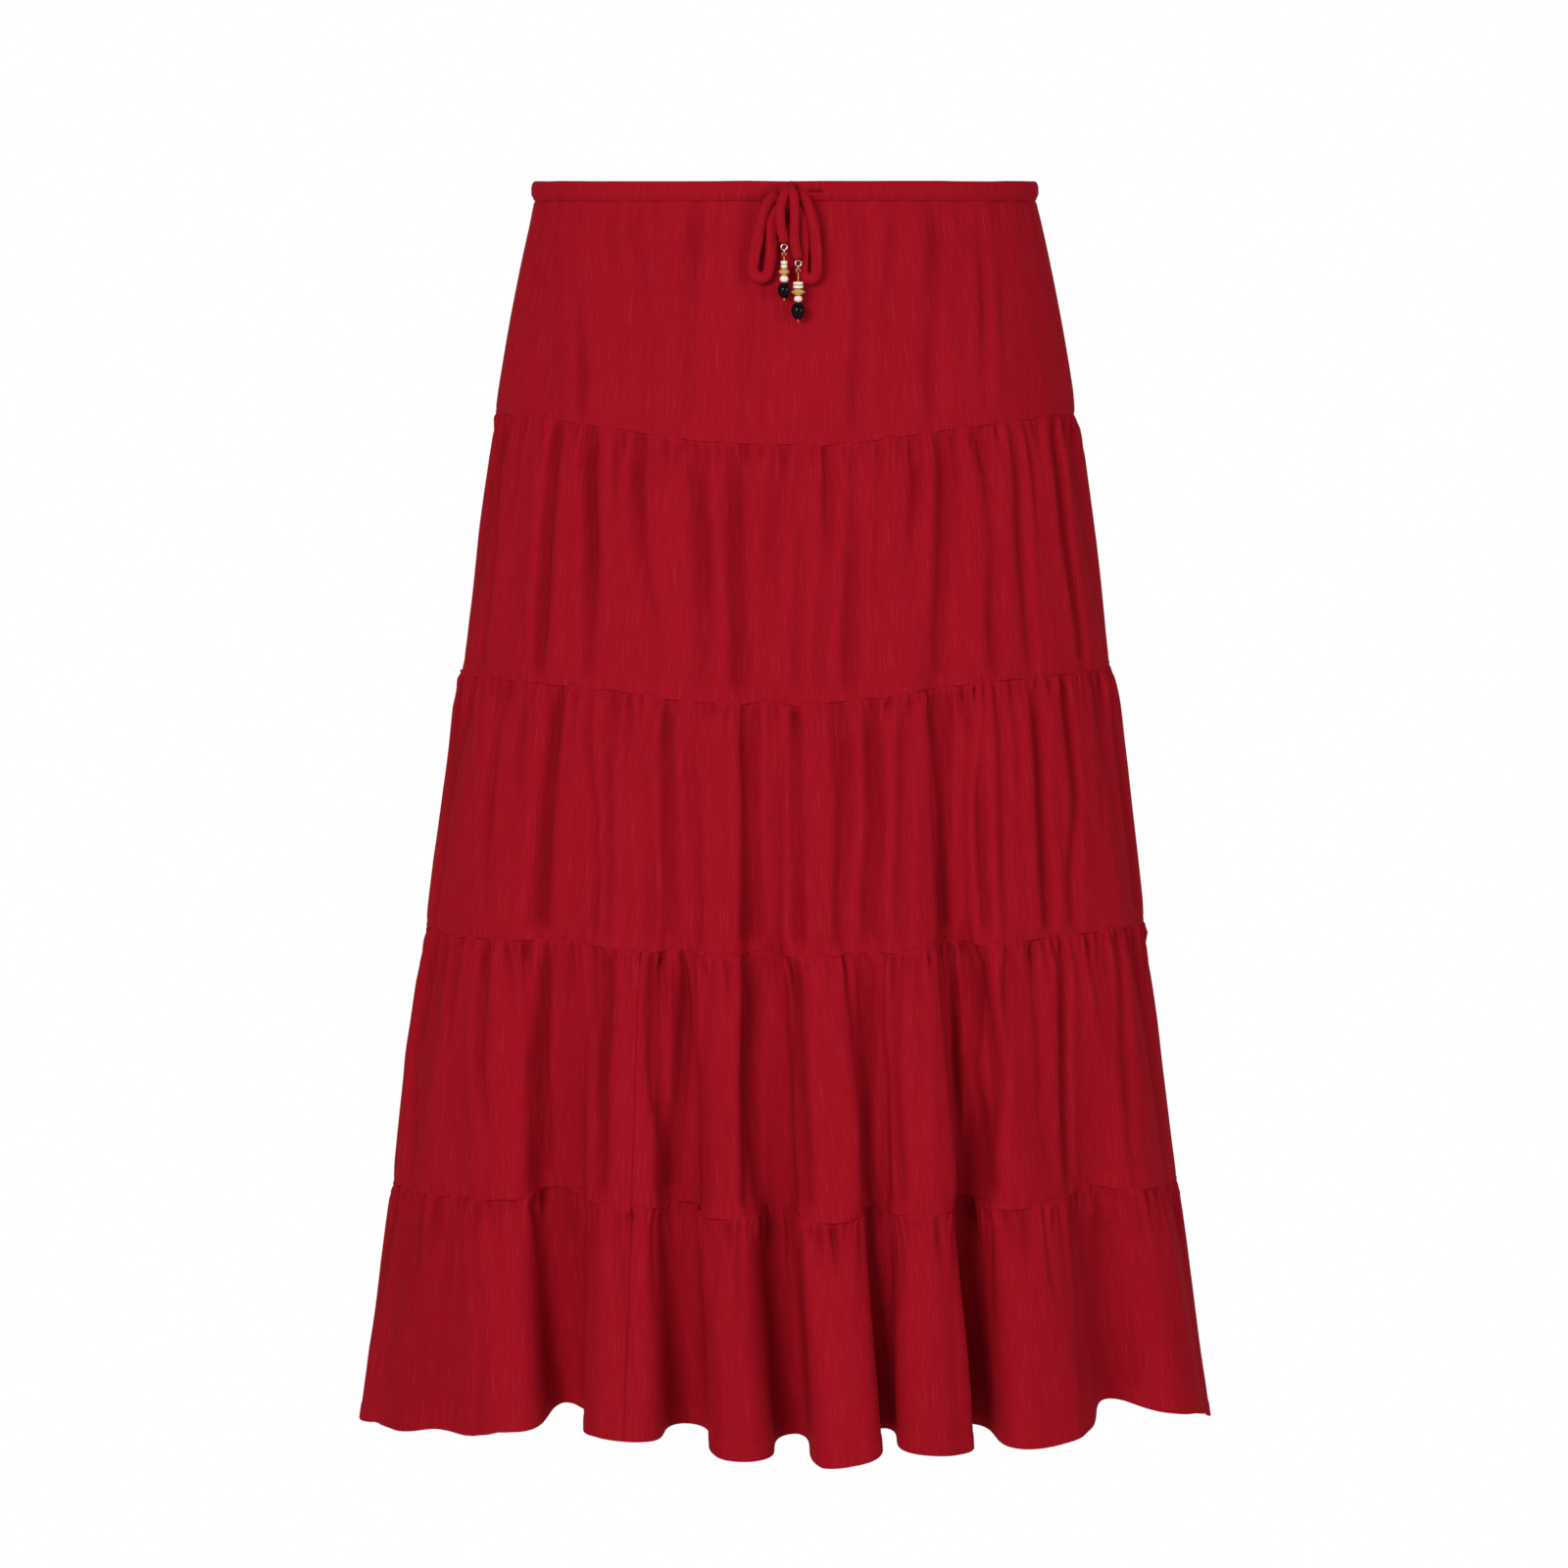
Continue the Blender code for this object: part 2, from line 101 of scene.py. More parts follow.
LEVELS = (
    Level(-6.8, 165.2, 103.2, 0.0, 3, 0.0),
    Level(-146.0, 191.6, 119.0, 17.0, 4, 0.0),
    Level(-315.5, 215.2, 133.0, 14.0, 6, 2.5),
    Level(-484.2, 238.8, 146.0, 7.5, 5, 2.0),
    Level(-655.4, 261.8, 158.0, 5.5, 6, 0.5),
    Level(-808.5, 283.8, 170.0, 8.0, 5, 0.0),
)
FOLDS = (
    Fold(-88.0, -84.0, 4.0, 0.0, 4.0, 0.45, 0.00, 0.00, 2.0),
    Fold(-66.0, -64.0, 9.0, 1.5, 3.5, 0.45, 0.10, 0.00, 2.6),
    Fold(-54.0, -42.5, 58.0, 20.0, -4.0, 0.34, 1.00, -0.08, 2.0),
    Fold(-23.0, -21.6, 50.0, 15.0, -9.0, 0.41, 1.00, -0.02, 2.0),
    Fold(-11.0, -5.9, 54.0, 10.0, -1.0, 0.34, 1.05, 0.02, 1.0),
    Fold(4.0, 8.2, 50.0, 10.0, 2.5, 0.18, 1.20, 0.04, 2.0),
    Fold(20.5, 20.6, 62.0, 9.0, -1.5, 0.34, 1.15, 0.03, 1.0),
    Fold(36.0, 36.4, 40.0, 14.0, 0.5, 0.36, 0.20, 0.08, 2.4),
    Fold(64.0, 71.5, 8.0, 2.0, -3.0, 0.45, 0.20, 0.00, 2.0),
    Fold(92.0, 92.0, 26.0, 6.0, 5.0, 0.42, 0.70, 0.00, 2.0),
    Fold(114.0, 113.0, 40.0, 8.0, 2.0, 0.36, 0.95, -0.04, 2.0),
    Fold(136.0, 134.0, 50.0, 9.0, -3.0, 0.30, 1.05, 0.03, 1.6),
    Fold(156.0, 157.0, 54.0, 10.0, 2.0, 0.34, 1.05, -0.03, 1.4),
    Fold(178.0, 177.0, 48.0, 9.0, -2.0, 0.40, 1.00, 0.04, 2.0),
    Fold(198.0, 200.0, 56.0, 10.0, 1.0, 0.26, 1.10, -0.02, 1.2),
    Fold(221.0, 223.0, 46.0, 9.0, -3.0, 0.40, 0.95, 0.05, 2.0),
    Fold(246.0, 248.0, 34.0, 7.0, 0.0, 0.42, 0.80, 0.00, 2.0),
)
TIERS = (
    Tier("yoke", 2.0, 0.9, 1.6),
    Tier("tier_2", 2.0, 1.3, 0.6),
    Tier("tier_3", 2.0, 1.6, 0.5),
    Tier("tier_4", 2.0, 2.0, 0.5),
    Tier("tier_5", 8 / 3, 2.2, 0.5),
)
LEFT_SIDE, PANEL_JOIN, RIGHT_SIDE = 0, 3, 9  # crests where panels meet
ALL_ROUND = len(FOLDS)
HEM_LEVEL = 5.0
SPREAD_FROM = 3.0  # the level from which the crests turn towards their places at the hem
PINCH = 1.8  # how deep the solids' groove is at a seam, and how far it reaches
PINCH_REACH = 5.0
PINCH_FILLED = 1.0  # of that groove, what the cloth fills again
GATHER_REACH = 34.0
ARC_STEPS = 400  # for each fold, where the length along the cloth is measured
SEAM_LINE, HEM_LINE = 0.03, 0.98  # shares of a tier's height at which it is measured
FOLD_POWER = 1.7


class ClothForm:
    """The one surface that all five tiers lie on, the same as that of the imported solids.

    A place on it is `around`, counted in folds from the left side across the front and back
    again, and `level`, 0 under the casing, 1 to 4 at the seams and 5 at the hem.
    """

    def __init__(self) -> None:
        """Reads both tables."""
        self._fold = self._columns(Fold, FOLDS)
        self._level = self._columns(Level, LEVELS)

    @staticmethod
    def _columns(kind: type, rows: tuple) -> dict[str, np.ndarray]:
        """A table's columns by their names."""
        names = [part.name for part in fields(kind)]
        return {name: np.array([getattr(row, name) for row in rows], float) for name in names}

    def at_level(self, name: str, level: np.ndarray) -> np.ndarray:
        """One measure of the seam lines, read in a straight line between two of them."""
        return np.interp(level, np.arange(len(LEVELS)), self._level[name])

    def tall(self, tier: int) -> float:
        """The height of a tier in millimetres."""
        return LEVELS[tier].height - LEVELS[tier + 1].height

    def _crest(self, number: np.ndarray, level: np.ndarray) -> np.ndarray:
        """Where a crest lies.

        Args:
            number: the numbers of crests, counted on past the last one.
            level: places down the skirt, in tiers.

        Returns:
            Their angles in radians, counted on past a full turn.
        """
        turns, number = np.divmod(number, len(FOLDS))
        top, hem = self._fold["top"][number], self._fold["hem"][number]
        share = np.clip((level - SPREAD_FROM) / (HEM_LEVEL - SPREAD_FROM), 0.0, 1.0)
        return np.radians(top + (hem - top) * share + 360.0 * turns)

    def _spot(
        self, around: np.ndarray, level: np.ndarray
    ) -> tuple[np.ndarray, np.ndarray, dict[str, np.ndarray], np.ndarray]:
        """Reads the fold that each place lies in.

        Args:
            around: places around the skirt, in folds.
            level: places down the skirt, in tiers.

        Returns:
            The fold's number, the share of it before the place, its measures by their names,
            and how far it has opened there, from 0 to 1.
        """
        number = np.floor(around).astype(int)
        row = {name: values[number % len(FOLDS)] for name, values in self._fold.items()}
        opened = np.clip((level - row["start"]) / (HEM_LEVEL - row["start"]), 0.0, 1.0)
        return number, around - number, row, opened

    def angle(self, around: np.ndarray, level: np.ndarray) -> np.ndarray:
        """The directions in which places lie from the middle.

        Args:
            around: places around the skirt, in folds.
            level: places down the skirt, in tiers.

        Returns:
            Their angles in radians, 0 at the front.
        """
        number, part, row, opened = self._spot(around, level)
        across = part + row["steep"] * np.sqrt(opened) * np.sin(4 * math.pi * part) / (4 * math.pi)
        flat = math.pi * (0.5 - row["floor"]) * opened
        across += flat * np.sin(2 * math.pi * part) / (2 * math.pi)
        across += row["lean"] * opened * np.sin(math.pi * part) ** 2
        here, after = self._crest(number, level), self._crest(number + 1, level)
        return here + (after - here) * across

    def point(self, around: np.ndarray, level: np.ndarray, tier: int) -> np.ndarray:
        """The points of a tier without its gathers.

        Args:
            around: places around the skirt, in folds.
            level: places down the skirt, in tiers.
            tier: the number of the tier that the points belong to.

        Returns:
            An array of x, y and z in millimetres.
        """
        number, part, row, opened = self._spot(around, level)
        deep = opened**FOLD_POWER
        angle = self.angle(around, level)
        inward = (1 - np.cos(2 * math.pi * part)) / 2

        front = np.maximum(np.cos(angle), 0.0)
        height = self.at_level("height", level)
        height = height - self.at_level("dip", level) * front ** self.at_level("sharpness", level)
        height = height + self.at_level("tilt", level) * np.sin(angle)
        next_drop = self._fold["drop"][(number + 1) % len(FOLDS)]
        drop = row["drop"] + (next_drop - row["drop"]) * part * part * (3 - 2 * part)
        height = height + deep * (row["lift"] * inward - drop * (1 - inward))

        down = np.clip(level - tier, 0.0, 1.0)
        below, above = down * self.tall(tier), (1 - down) * self.tall(tier)
        out = TIERS[tier].bulge * 4 * down * (1 - down) - PINCH * np.exp(-below / PINCH_REACH)
        if tier + 1 < len(TIERS):
            out = out - PINCH * np.exp(-above / PINCH_REACH)
        out = out - row["depth"] * deep * inward
        wide, thick = self.at_level("half_width", level), self.at_level("half_depth", level)
        normal = np.stack([np.sin(angle) / wide, -np.cos(angle) / thick], -1)
        normal = normal / np.linalg.norm(normal, axis=-1, keepdims=True)
        x = wide * np.sin(angle) + out * normal[..., 0]
        y = -thick * np.cos(angle) + out * normal[..., 1]
        return np.stack([x, y, height], -1)

    def outward(self, around: np.ndarray, level: np.ndarray, tier: int) -> np.ndarray:
        """The directions that point out of the cloth.

        Args:
            around: places around the skirt, in folds.
            level: places down the skirt, in tiers.
            tier: the number of the tier that they belong to.

        Returns:
            An array of x and y, of length 1.
        """
        step = 1e-3
        run = self.point(around + step, level, tier) - self.point(around - step, level, tier)
        across = np.stack([run[..., 1], -run[..., 0]], -1)
        return across / np.linalg.norm(across, axis=-1, keepdims=True)

    def arc(self, around: np.ndarray, level: float, tier: int) -> np.ndarray:
        """The length along the cloth up to each place.

        Args:
            around: a fine row of places around the skirt, in folds.
            level: where the row runs, in tiers.
            tier: the number of the tier that it belongs to.

        Returns:
            An array of lengths in millimetres.
        """
        return run_lengths(self.point(around, np.full_like(around, level), tier))


def run_lengths(points: np.ndarray) -> np.ndarray:
    """The length along a row of points up to each of them, in their own unit."""
    steps = np.linalg.norm(np.diff(points, axis=0), axis=1)
    return np.concatenate([[0.0], np.cumsum(steps)])


def bell(values: np.ndarray, middle: float, width: float) -> np.ndarray:
    """A smooth bump: 1 at its middle, falling to 0 a few widths away."""
    return np.exp(-(((values - middle) / width) ** 2))


class RingNoise:
    """Smooth seeded noise along a closed line, from -1 to 1."""

    def __init__(self, seed: int, knots: int) -> None:
        """Draws a value for each of the knots, at least three."""
        self._values = np.random.default_rng(seed).uniform(-1.0, 1.0, max(knots, 3))

    def __call__(self, share: np.ndarray) -> np.ndarray:
        """Reads the noise.

        Args:
            share: places from 0 to 1 along the line.

        Returns:
            The noise there.
        """
        count = len(self._values)
        place = share * count
        low = np.floor(place).astype(int)
        part = place - low
        part = part * part * (3 - 2 * part)
        return self._values[low % count] * (1 - part) + self._values[(low + 1) % count] * part


# ------------------------ creases and gathers
@dataclass(frozen=True)
class Tucks:
    """Uneven tucks that start at a seam, of one size, in millimetres.

    Attributes:
        pitch: how far apart they are on average.
        depth: how deep the deepest are.
        width: half of their width where they start.
        length: how far most of them reach.
        front: the share of their depth that they keep on the front, where the creases are.
    """

    pitch: float
    depth: float
    width: float
    length: float
    front: float = 1.0


# A crease runs so many millimetres right of the middle, and is so many deep, at each of three
# heights down the tier, and has one half width. A ridge has depths below 0.
CREASE_HEIGHTS = (0.16, 0.47, 0.78)
CREASE_LEVELS = (0.0, 0.07, *CREASE_HEIGHTS, 1.0)
CREASE_TOP, CREASE_NEAR_TOP, CREASE_FOOT = 0.15, 0.7, 0.8  # its depth at the other levels
CREASE_SHIFT = 0.35  # of the width: light from the left darkens a crease on its left
CREASE_LIPS = ((-1.8, 1.1, 0.3), (1.8, 1.1, 0.2))  # swells beside it: place, width, height
CREASES = (  # for each tier, (three places, three depths, width) of each crease
    (
        (-100, -90, -90, 1.7, 0.9, 0.4, 6.0), (-62, -64, -66, 2.4, 1.3, 1.5, 6.0),
        (-48, -48, -48, 0.9, 0.0, 0.0, 5.0), (-24, -24, -29, 0.0, 0.9, 0.9, 5.0),
        (-13, -14, -14, 0.3, 1.0, 1.4, 2.4), (31, 28, 28, 1.1, 0.4, 0.5, 5.0),
        (47, 47, 43, 1.5, 1.9, 3.2, 6.0), (69, 62, 62, 1.9, 1.3, 0.4, 6.0),
        (97, 94, 92, 3.0, 1.9, 2.8, 6.5), (126, 128, 127, 0.5, 2.5, 0.9, 5.0),
        (138, 140, 143, 0.0, 1.1, 0.4, 6.0), (-141, -136, -132, 0.0, 0.9, 3.4, 5.0),
        (-115, -115, -115, 1.3, 0.0, 0.0, 6.0),
    ),
    (
        (-190, -191, -197, 3.4, 3.4, 2.1, 7.0), (-153, -157, -160, 5.2, 5.2, 5.2, 7.0),
        (-129, -127, -129, 5.2, 4.9, 2.7, 6.0), (-97, -95, -85, 5.2, 3.3, 1.1, 6.0),
        (-60, -55, -56, 5.2, 4.9, 2.9, 7.0), (-35, -34, -31, 5.2, 5.2, 5.2, 6.5),
        (-9, -11, -12, 3.1, 2.9, 0.0, 6.0), (8, 9, 6, 1.1, 2.4, 2.6, 5.0),
        (28, 26, 21, 4.2, 2.5, 2.2, 6.0), (43, 42, 40, 2.9, 4.2, 4.5, 6.0),
        (60, 58, 58, 1.6, 0.6, 0.0, 4.0), (85, 81, 77, 4.5, 0.4, 0.6, 5.0),
        (102, 101, 99, 4.7, 4.5, 4.0, 6.0), (111, 111, 113, 2.5, 1.9, 0.0, 4.0),
        (129, 134, 133, 3.1, 2.2, 3.8, 6.0), (151, 152, 156, 3.3, 4.0, 2.7, 6.0),
        (177, 182, 190, 5.2, 5.2, 4.4, 7.0), (-87, -87, -87, 1.7, 0.0, 0.0, 3.5),
        (-169, -170, -170, 0.9, 0.0, 0.0, 4.0), (161, 165, 167, 1.8, 0.1, 0.6, 4.0),
    ),
    (
        (-211, -223, -229, 2.3, 2.3, 3.0, 8.0), (-189, -195, -197, 2.6, 3.8, 0.9, 7.0),
        (-172, -177, -179, 3.6, 0.4, 0.0, 5.0), (-151, -158, -162, 5.6, 5.6, 5.6, 7.0),
        (-129, -125, -125, 1.8, 2.3, 2.5, 4.0), (-117, -116, -116, 2.5, 2.0, 2.2, 4.0),
        (-92, -89, -87, 0.0, 1.0, 5.0, 6.0), (-78, -77, -76, 4.8, 4.6, 4.8, 5.0),
        (-64, -60, -58, 2.3, 2.8, 3.0, 4.5), (-24, -23, -23, 5.6, 5.6, 5.6, 5.5),
        (-8, -11, -11, 1.9, 3.6, 0.0, 5.0), (4, 5, 6, 4.6, 3.5, 5.3, 5.5),
        (16, 19, 22, 1.3, 0.2, 1.2, 4.0), (37, 37, 34, 4.8, 4.0, 2.8, 6.0),
        (54, 57, 53, 5.0, 4.5, 5.0, 6.0), (75, 75, 73, 2.3, 2.9, 2.5, 5.0),
        (97, 102, 104, 5.6, 1.7, 0.0, 4.0), (105, 106, 106, 5.6, 5.6, 5.6, 5.0),
        (118, 116, 116, 3.5, 2.7, 0.0, 4.0), (126, 125, 127, 0.0, 5.0, 5.6, 5.0),
        (139, 140, 141, 2.8, 2.3, 2.1, 4.5), (163, 165, 169, 5.6, 5.6, 5.6, 6.0),
        (183, 189, 186, 3.5, 3.8, 2.8, 6.0), (208, 206, 211, 0.5, 0.8, 0.3, 6.0),
    ),
    (
        (-234, -247, -248, 0.5, 2.2, 3.5, 7.0), (-219, -222, -222, 2.7, 0.0, 0.0, 5.0),
        (-199, -201, -195, 4.2, 5.0, 1.5, 7.0), (-180, -180, -180, 1.4, 0.0, 0.0, 4.0),
        (-163, -167, -167, 5.2, 5.2, 3.6, 5.0), (-127, -127, -127, 1.6, 0.0, 0.0, 4.0),
        (-117, -122, -122, 3.9, 4.3, 3.9, 6.0), (-87, -87, -81, 5.2, 4.3, 1.8, 5.0),
        (-69, -71, -77, 5.2, 5.2, 3.6, 5.0), (-50, -58, -54, 1.6, 1.1, 1.3, 4.5),
        (-23, -25, -24, 5.2, 5.2, 5.2, 5.0), (4, 6, 10, 4.4, 4.9, 5.2, 6.5),
        (28, 26, 26, 0.4, 1.3, 0.0, 6.0), (53, 54, 53, 5.2, 5.2, 3.6, 5.0),
        (71, 68, 72, 2.1, 3.7, 3.4, 5.0), (87, 87, 87, 0.7, 1.1, 0.0, 5.0),
        (127, 136, 131, 5.2, 5.2, 5.2, 6.0), (142, 144, 144, 2.1, 0.0, 0.0, 4.0),
        (162, 166, 166, 1.8, 1.8, 0.0, 5.0), (182, 184, 186, 5.2, 5.2, 4.7, 6.0),
        (220, 223, 227, 3.0, 2.2, 2.0, 7.0), (105, 108, 112, -1.5, -3.0, -4.5, 6.0),
        (116, 118, 122, 5.0, 4.6, 2.5, 3.2),
    ),
    (
        (-248, -257, -269, 0.9, 0.5, 0.5, 7.0), (-223, -228, -233, 2.7, 0.5, 0.5, 6.0),
        (-206, -200, -200, 1.9, 1.1, 1.9, 7.0), (-164, -162, -157, 0.9, 0.9, 0.6, 5.5),
        (-128, -129, -131, 0.9, 0.9, 0.7, 6.5), (-110, -105, -102, 1.7, 1.5, 0.0, 5.0),
        (-66, -71, -75, 0.9, 0.8, 0.3, 5.5), (-47, -53, -50, 1.2, 0.6, 1.2, 5.0),
        (-18, -18, -15, 0.9, 0.9, 0.9, 6.0), (2, 7, 12, 1.2, 1.5, 1.2, 6.0),
        (35, 35, 35, 1.0, 0.0, 0.0, 4.5), (23, 23, 23, 0.8, 0.0, 0.0, 4.0),
        (48, 48, 48, 1.5, 0.0, 0.0, 4.0), (57, 61, 64, 0.9, 0.9, 0.7, 6.0),
        (71, 71, 71, 2.0, 1.6, 0.0, 5.0), (101, 101, 101, 1.3, 0.0, 0.0, 5.0),
        (122, 123, 122, 0.9, 0.9, 0.9, 6.0), (194, 197, 198, 0.9, 0.9, 0.9, 6.5),
        (235, 240, 243, 0.9, 0.7, 0.5, 8.0), (134, 134, 134, 0.0, 0.0, 1.9, 5.0),
        (149, 152, 152, 0.6, 0.0, 0.0, 5.0), (118, 120, 122, -3.0, -5.0, -5.5, 7.0),
    ),
)
TUCKS = (  # for each tier, from the smallest to the largest
    (Tucks(8.0, 0.9, 1.7, 10), Tucks(14.0, 1.2, 3.6, 42, 0.8), Tucks(28.0, 3.6, 7.0, 150, 0.15)),
    (Tucks(5.5, 3.0, 1.3, 15), Tucks(10.0, 3.0, 2.0, 34, 0.9), Tucks(19.0, 6.4, 5.5, 170, 0.1)),
    (Tucks(5.5, 3.1, 1.3, 15), Tucks(10.0, 3.3, 2.0, 36, 0.9), Tucks(19.0, 6.8, 5.5, 170, 0.1)),
    (Tucks(5.5, 3.2, 1.3, 16), Tucks(10.0, 3.5, 2.1, 38, 0.9), Tucks(20.0, 6.8, 5.5, 170, 0.1)),
    (Tucks(5.5, 3.2, 1.4, 16), Tucks(10.0, 3.5, 2.2, 38, 0.9), Tucks(22.0, 5.6, 6.0, 150, 0.1)),
)
TUCK_LIP = (1.7, 0.35)  # the swell on one side of a tuck: its place and height
PUCKERS = Tucks(8.0, 1.1, 2.0, 6.0)  # in the lower edge of a tier that has another under it
HEM_TRIM = (  # how much lower the hem hangs at an angle from the front, in degrees and millimetres
    (-95, 0.0), (-84, 1.0), (-77, 3.5), (-72, 3.5), (-67, 0.5), (-62, 0.0), (-55, 0.5),
    (-46, 1.5), (-43, -0.5), (-41, -3.0), (-39, -3.0), (-36, -1.5), (-33, 1.5), (-30, 2.0),
    (-26, -1.0), (-19, -1.0), (-12, 0.0), (2, 0.0), (5, 2.5), (9, -0.5), (14, -2.5), (20, 0.0),
    (25, 2.5), (30, 1.5), (40, 0.0), (48, 0.5), (54, 0.0), (60, -3.0), (66, -2.6), (72, -1.0),
    (80, 2.4), (86, 4.0), (91, 1.5), (97, 0.0),
)
DEEPEST = 6.0  # millimetres of crease at which the shade painted into the cloth's colour is darkest
DRAPE = (0.5, 0.9, 1.1, 1.4, 1.6)  # how uneven each tier hangs, in millimetres
DRAPE_FROM = 25.0  # millimetres below a seam where it is as uneven as that
SEAM_CALM = 14.0  # millimetres above a seam where the creases start to flatten
DRAPE_KNOTS = (44, 37, 83)  # how often that changes around the skirt, for its three parts
WAVES = ((7.0, 0.45), (19.0, 0.75))  # of a seam: how far apart and how high, in millimetres
WAVE_REACH = 12.0  # millimetres from a seam to which the cloth follows them
FILLED_SIDE = (81.0, 7.0, 4.5)  # the hem stands out here: angle and width in degrees, millimetres
BOW_HALF, BOW_FADE, BEHIND_BOW = 26.0, 16.0, 0.2  # the flat cloth behind the bow, in millimetres


class Relief:
    """How far the cloth stands out of its plain form: gathers, creases, seams and the hem."""

    def __init__(self, form: ClothForm, tier: int, under: "Relief | None") -> None:
        """Measures the seam above the tier.

        Args:
            form: the surface that the tiers lie on.
            tier: the tier's number.
            under: the relief of the tier under it, if there is one.
        """
        self._form = form
        self._tier = tier
        self.under = under
        self._fine = np.linspace(0.0, len(FOLDS), ARC_STEPS * len(FOLDS) + 1)
        self._arc = form.arc(self._fine, tier + SEAM_LINE, tier)
        self._seed = 100 * (tier + 1)

    def along(self, around: np.ndarray) -> np.ndarray:
        """Places around the skirt as lengths along the seam above, in millimetres."""
        return np.interp(around, self._fine, self._arc)

    def share(self, around: np.ndarray) -> np.ndarray:
        """Places around the skirt as shares of the seam's length."""
        return self.along(around) / self._arc[-1]

    def tucks(self, kind: Tucks, seed: int, along: np.ndarray, away: np.ndarray) -> np.ndarray:
        """Tucks of one size.

        Args:
            kind: their sizes.
            seed: what makes them uneven in the same way each time.
            along: places along the seam, in millimetres.
            away: how far from the seam each place is, in millimetres.

        Returns:
            How far the cloth stands out there, in millimetres.
        """
        pick = np.random.default_rng(seed)
        whole = float(self._arc[-1])
        count = int(round(whole / kind.pitch))
        found = np.zeros_like(along)
        for number in range(count):
            middle = (number + pick.uniform(-0.5, 0.5)) * whole / count
            depth = kind.depth * pick.uniform(0.25, 1.0)
            width = kind.width * pick.uniform(0.7, 1.5)
            length = kind.length * 2.0 ** pick.uniform(-1.2, 1.3)
            hook = 1.4 * width * pick.uniform(-1.0, 1.0)  # it leaves the seam askew
            lean = pick.uniform(-0.06, 0.06)
            lip = pick.choice((-TUCK_LIP[0], TUCK_LIP[0]))
            off = (along - middle + whole / 2) % whole - whole / 2
            near = (np.abs(off) < 8 * width + 4) & (away < length)
            part = np.clip(away[near] / length, 0.0, 1.0)
            shift = hook * (1 - np.exp(-away[near] / (4 * width))) + lean * away[near]
            spread = (off[near] - shift) / (width * (1 + 1.1 * part))
            there = np.clip(0.2 + away[near] / (3.0 * width), 0.0, 1.0) * (1 - part) ** 0.8
            found[near] -= depth * there * np.exp(-(spread**2))
            found[near] += TUCK_LIP[1] * depth * there * bell(spread, lip, 1.0)
        return found

    def _placed(self, angle: np.ndarray, down: np.ndarray) -> np.ndarray:
        """The creases of the front.

        Args:
            angle: directions from the middle, in radians.
            down: shares of the tier's height, from its upper seam down.

        Returns:
            How far the cloth stands out there, in millimetres.
        """
        found = np.zeros_like(angle)
        wide = self._form.at_level("half_width", self._tier + down)
        wide_there = self._form.at_level("half_width", self._tier + np.array(CREASE_HEIGHTS))
        for row in CREASES[self._tier]:
            places, depths, width = row[:3], row[3:6], row[6]
            angles = np.arcsin(np.clip(np.array(places) / wide_there, -1.0, 1.0))
            middle = np.interp(down, CREASE_HEIGHTS, angles)
            above = (CREASE_TOP * depths[0], CREASE_NEAR_TOP * depths[0])
            depth = np.interp(down, CREASE_LEVELS, (*above, *depths, CREASE_FOOT * depths[2]))
            off = (self._front(angle) - middle) * wide / width - CREASE_SHIFT
            found -= depth * np.exp(-(off**2))
            for place, spread, height in CREASE_LIPS:
                found += height * depth * bell(off, place, spread)
        return found

    def _on_front(self, angle: np.ndarray) -> np.ndarray:
        """1 on the front, where the creases are, falling to 0 on the sides and the back."""
        past = np.clip((np.abs(self._front(angle)) - 1.1) / 0.4, 0.0, 1.0)
        return 0.5 + 0.5 * np.cos(math.pi * past)

    def wobble(self, around: np.ndarray) -> np.ndarray:
        """The small waves of the seam above.

        Args:
            around: places around the skirt, in folds.

        Returns:
            How much lower the seam runs there, in millimetres.
        """
        share = self.share(around)
        found = np.zeros_like(share)
        for number, (apart, height) in enumerate(WAVES):
            noise = RingNoise(self._seed + 70 + number, int(self._arc[-1] / apart))
            found += height * noise(share)
        return found

    def lower(self, around: np.ndarray, level: np.ndarray) -> np.ndarray:
        """The waves of the seams and the hem.

        Args:
            around: places around the skirt, in folds.
            level: places down the skirt, in tiers.

        Returns:
            How much lower than its plain form the cloth lies there, in millimetres.
        """
        down = np.clip(level - self._tier, 0.0, 1.0)
        tall = self._form.tall(self._tier)
        found = np.zeros_like(around)
        if self._tier > 0:
            found += self.wobble(around) * np.exp(-down * tall / WAVE_REACH)
        if self.under is not None:
            found += self.under.wobble(around) * np.exp(-(1 - down) * tall / WAVE_REACH)
        else:
            angle = np.degrees(self._front(self._form.angle(around, level)))
            trim = np.interp(angle, [at for at, _ in HEM_TRIM], [more for _, more in HEM_TRIM])
            found += trim * down**3
        return found

    @staticmethod
    def _front(angle: np.ndarray) -> np.ndarray:
        """The angle from the front, from minus half a turn to half a turn."""
        return (angle + math.pi) % FULL_TURN - math.pi

    def _drape(self, share: np.ndarray, down: np.ndarray) -> np.ndarray:
        """The slow unevenness of hanging cloth.

        Args:
            share: places around the skirt, as shares of the seam's length.
            down: shares of the tier's height, from its upper seam down.

        Returns:
            How far the cloth stands out there, in millimetres.
        """
        upper, lower, fine = (
            RingNoise(self._seed + 40 + number, knots) for number, knots in enumerate(DRAPE_KNOTS)
        )
        turn = np.clip(down, 0.0, 1.0) * math.pi / 2
        found = upper(share) * np.cos(turn) + lower(share) * np.sin(turn)
        found += 0.6 * fine(share + 0.004 * np.sin(5 * down))  # it winds a little
        return DRAPE[self._tier] * found

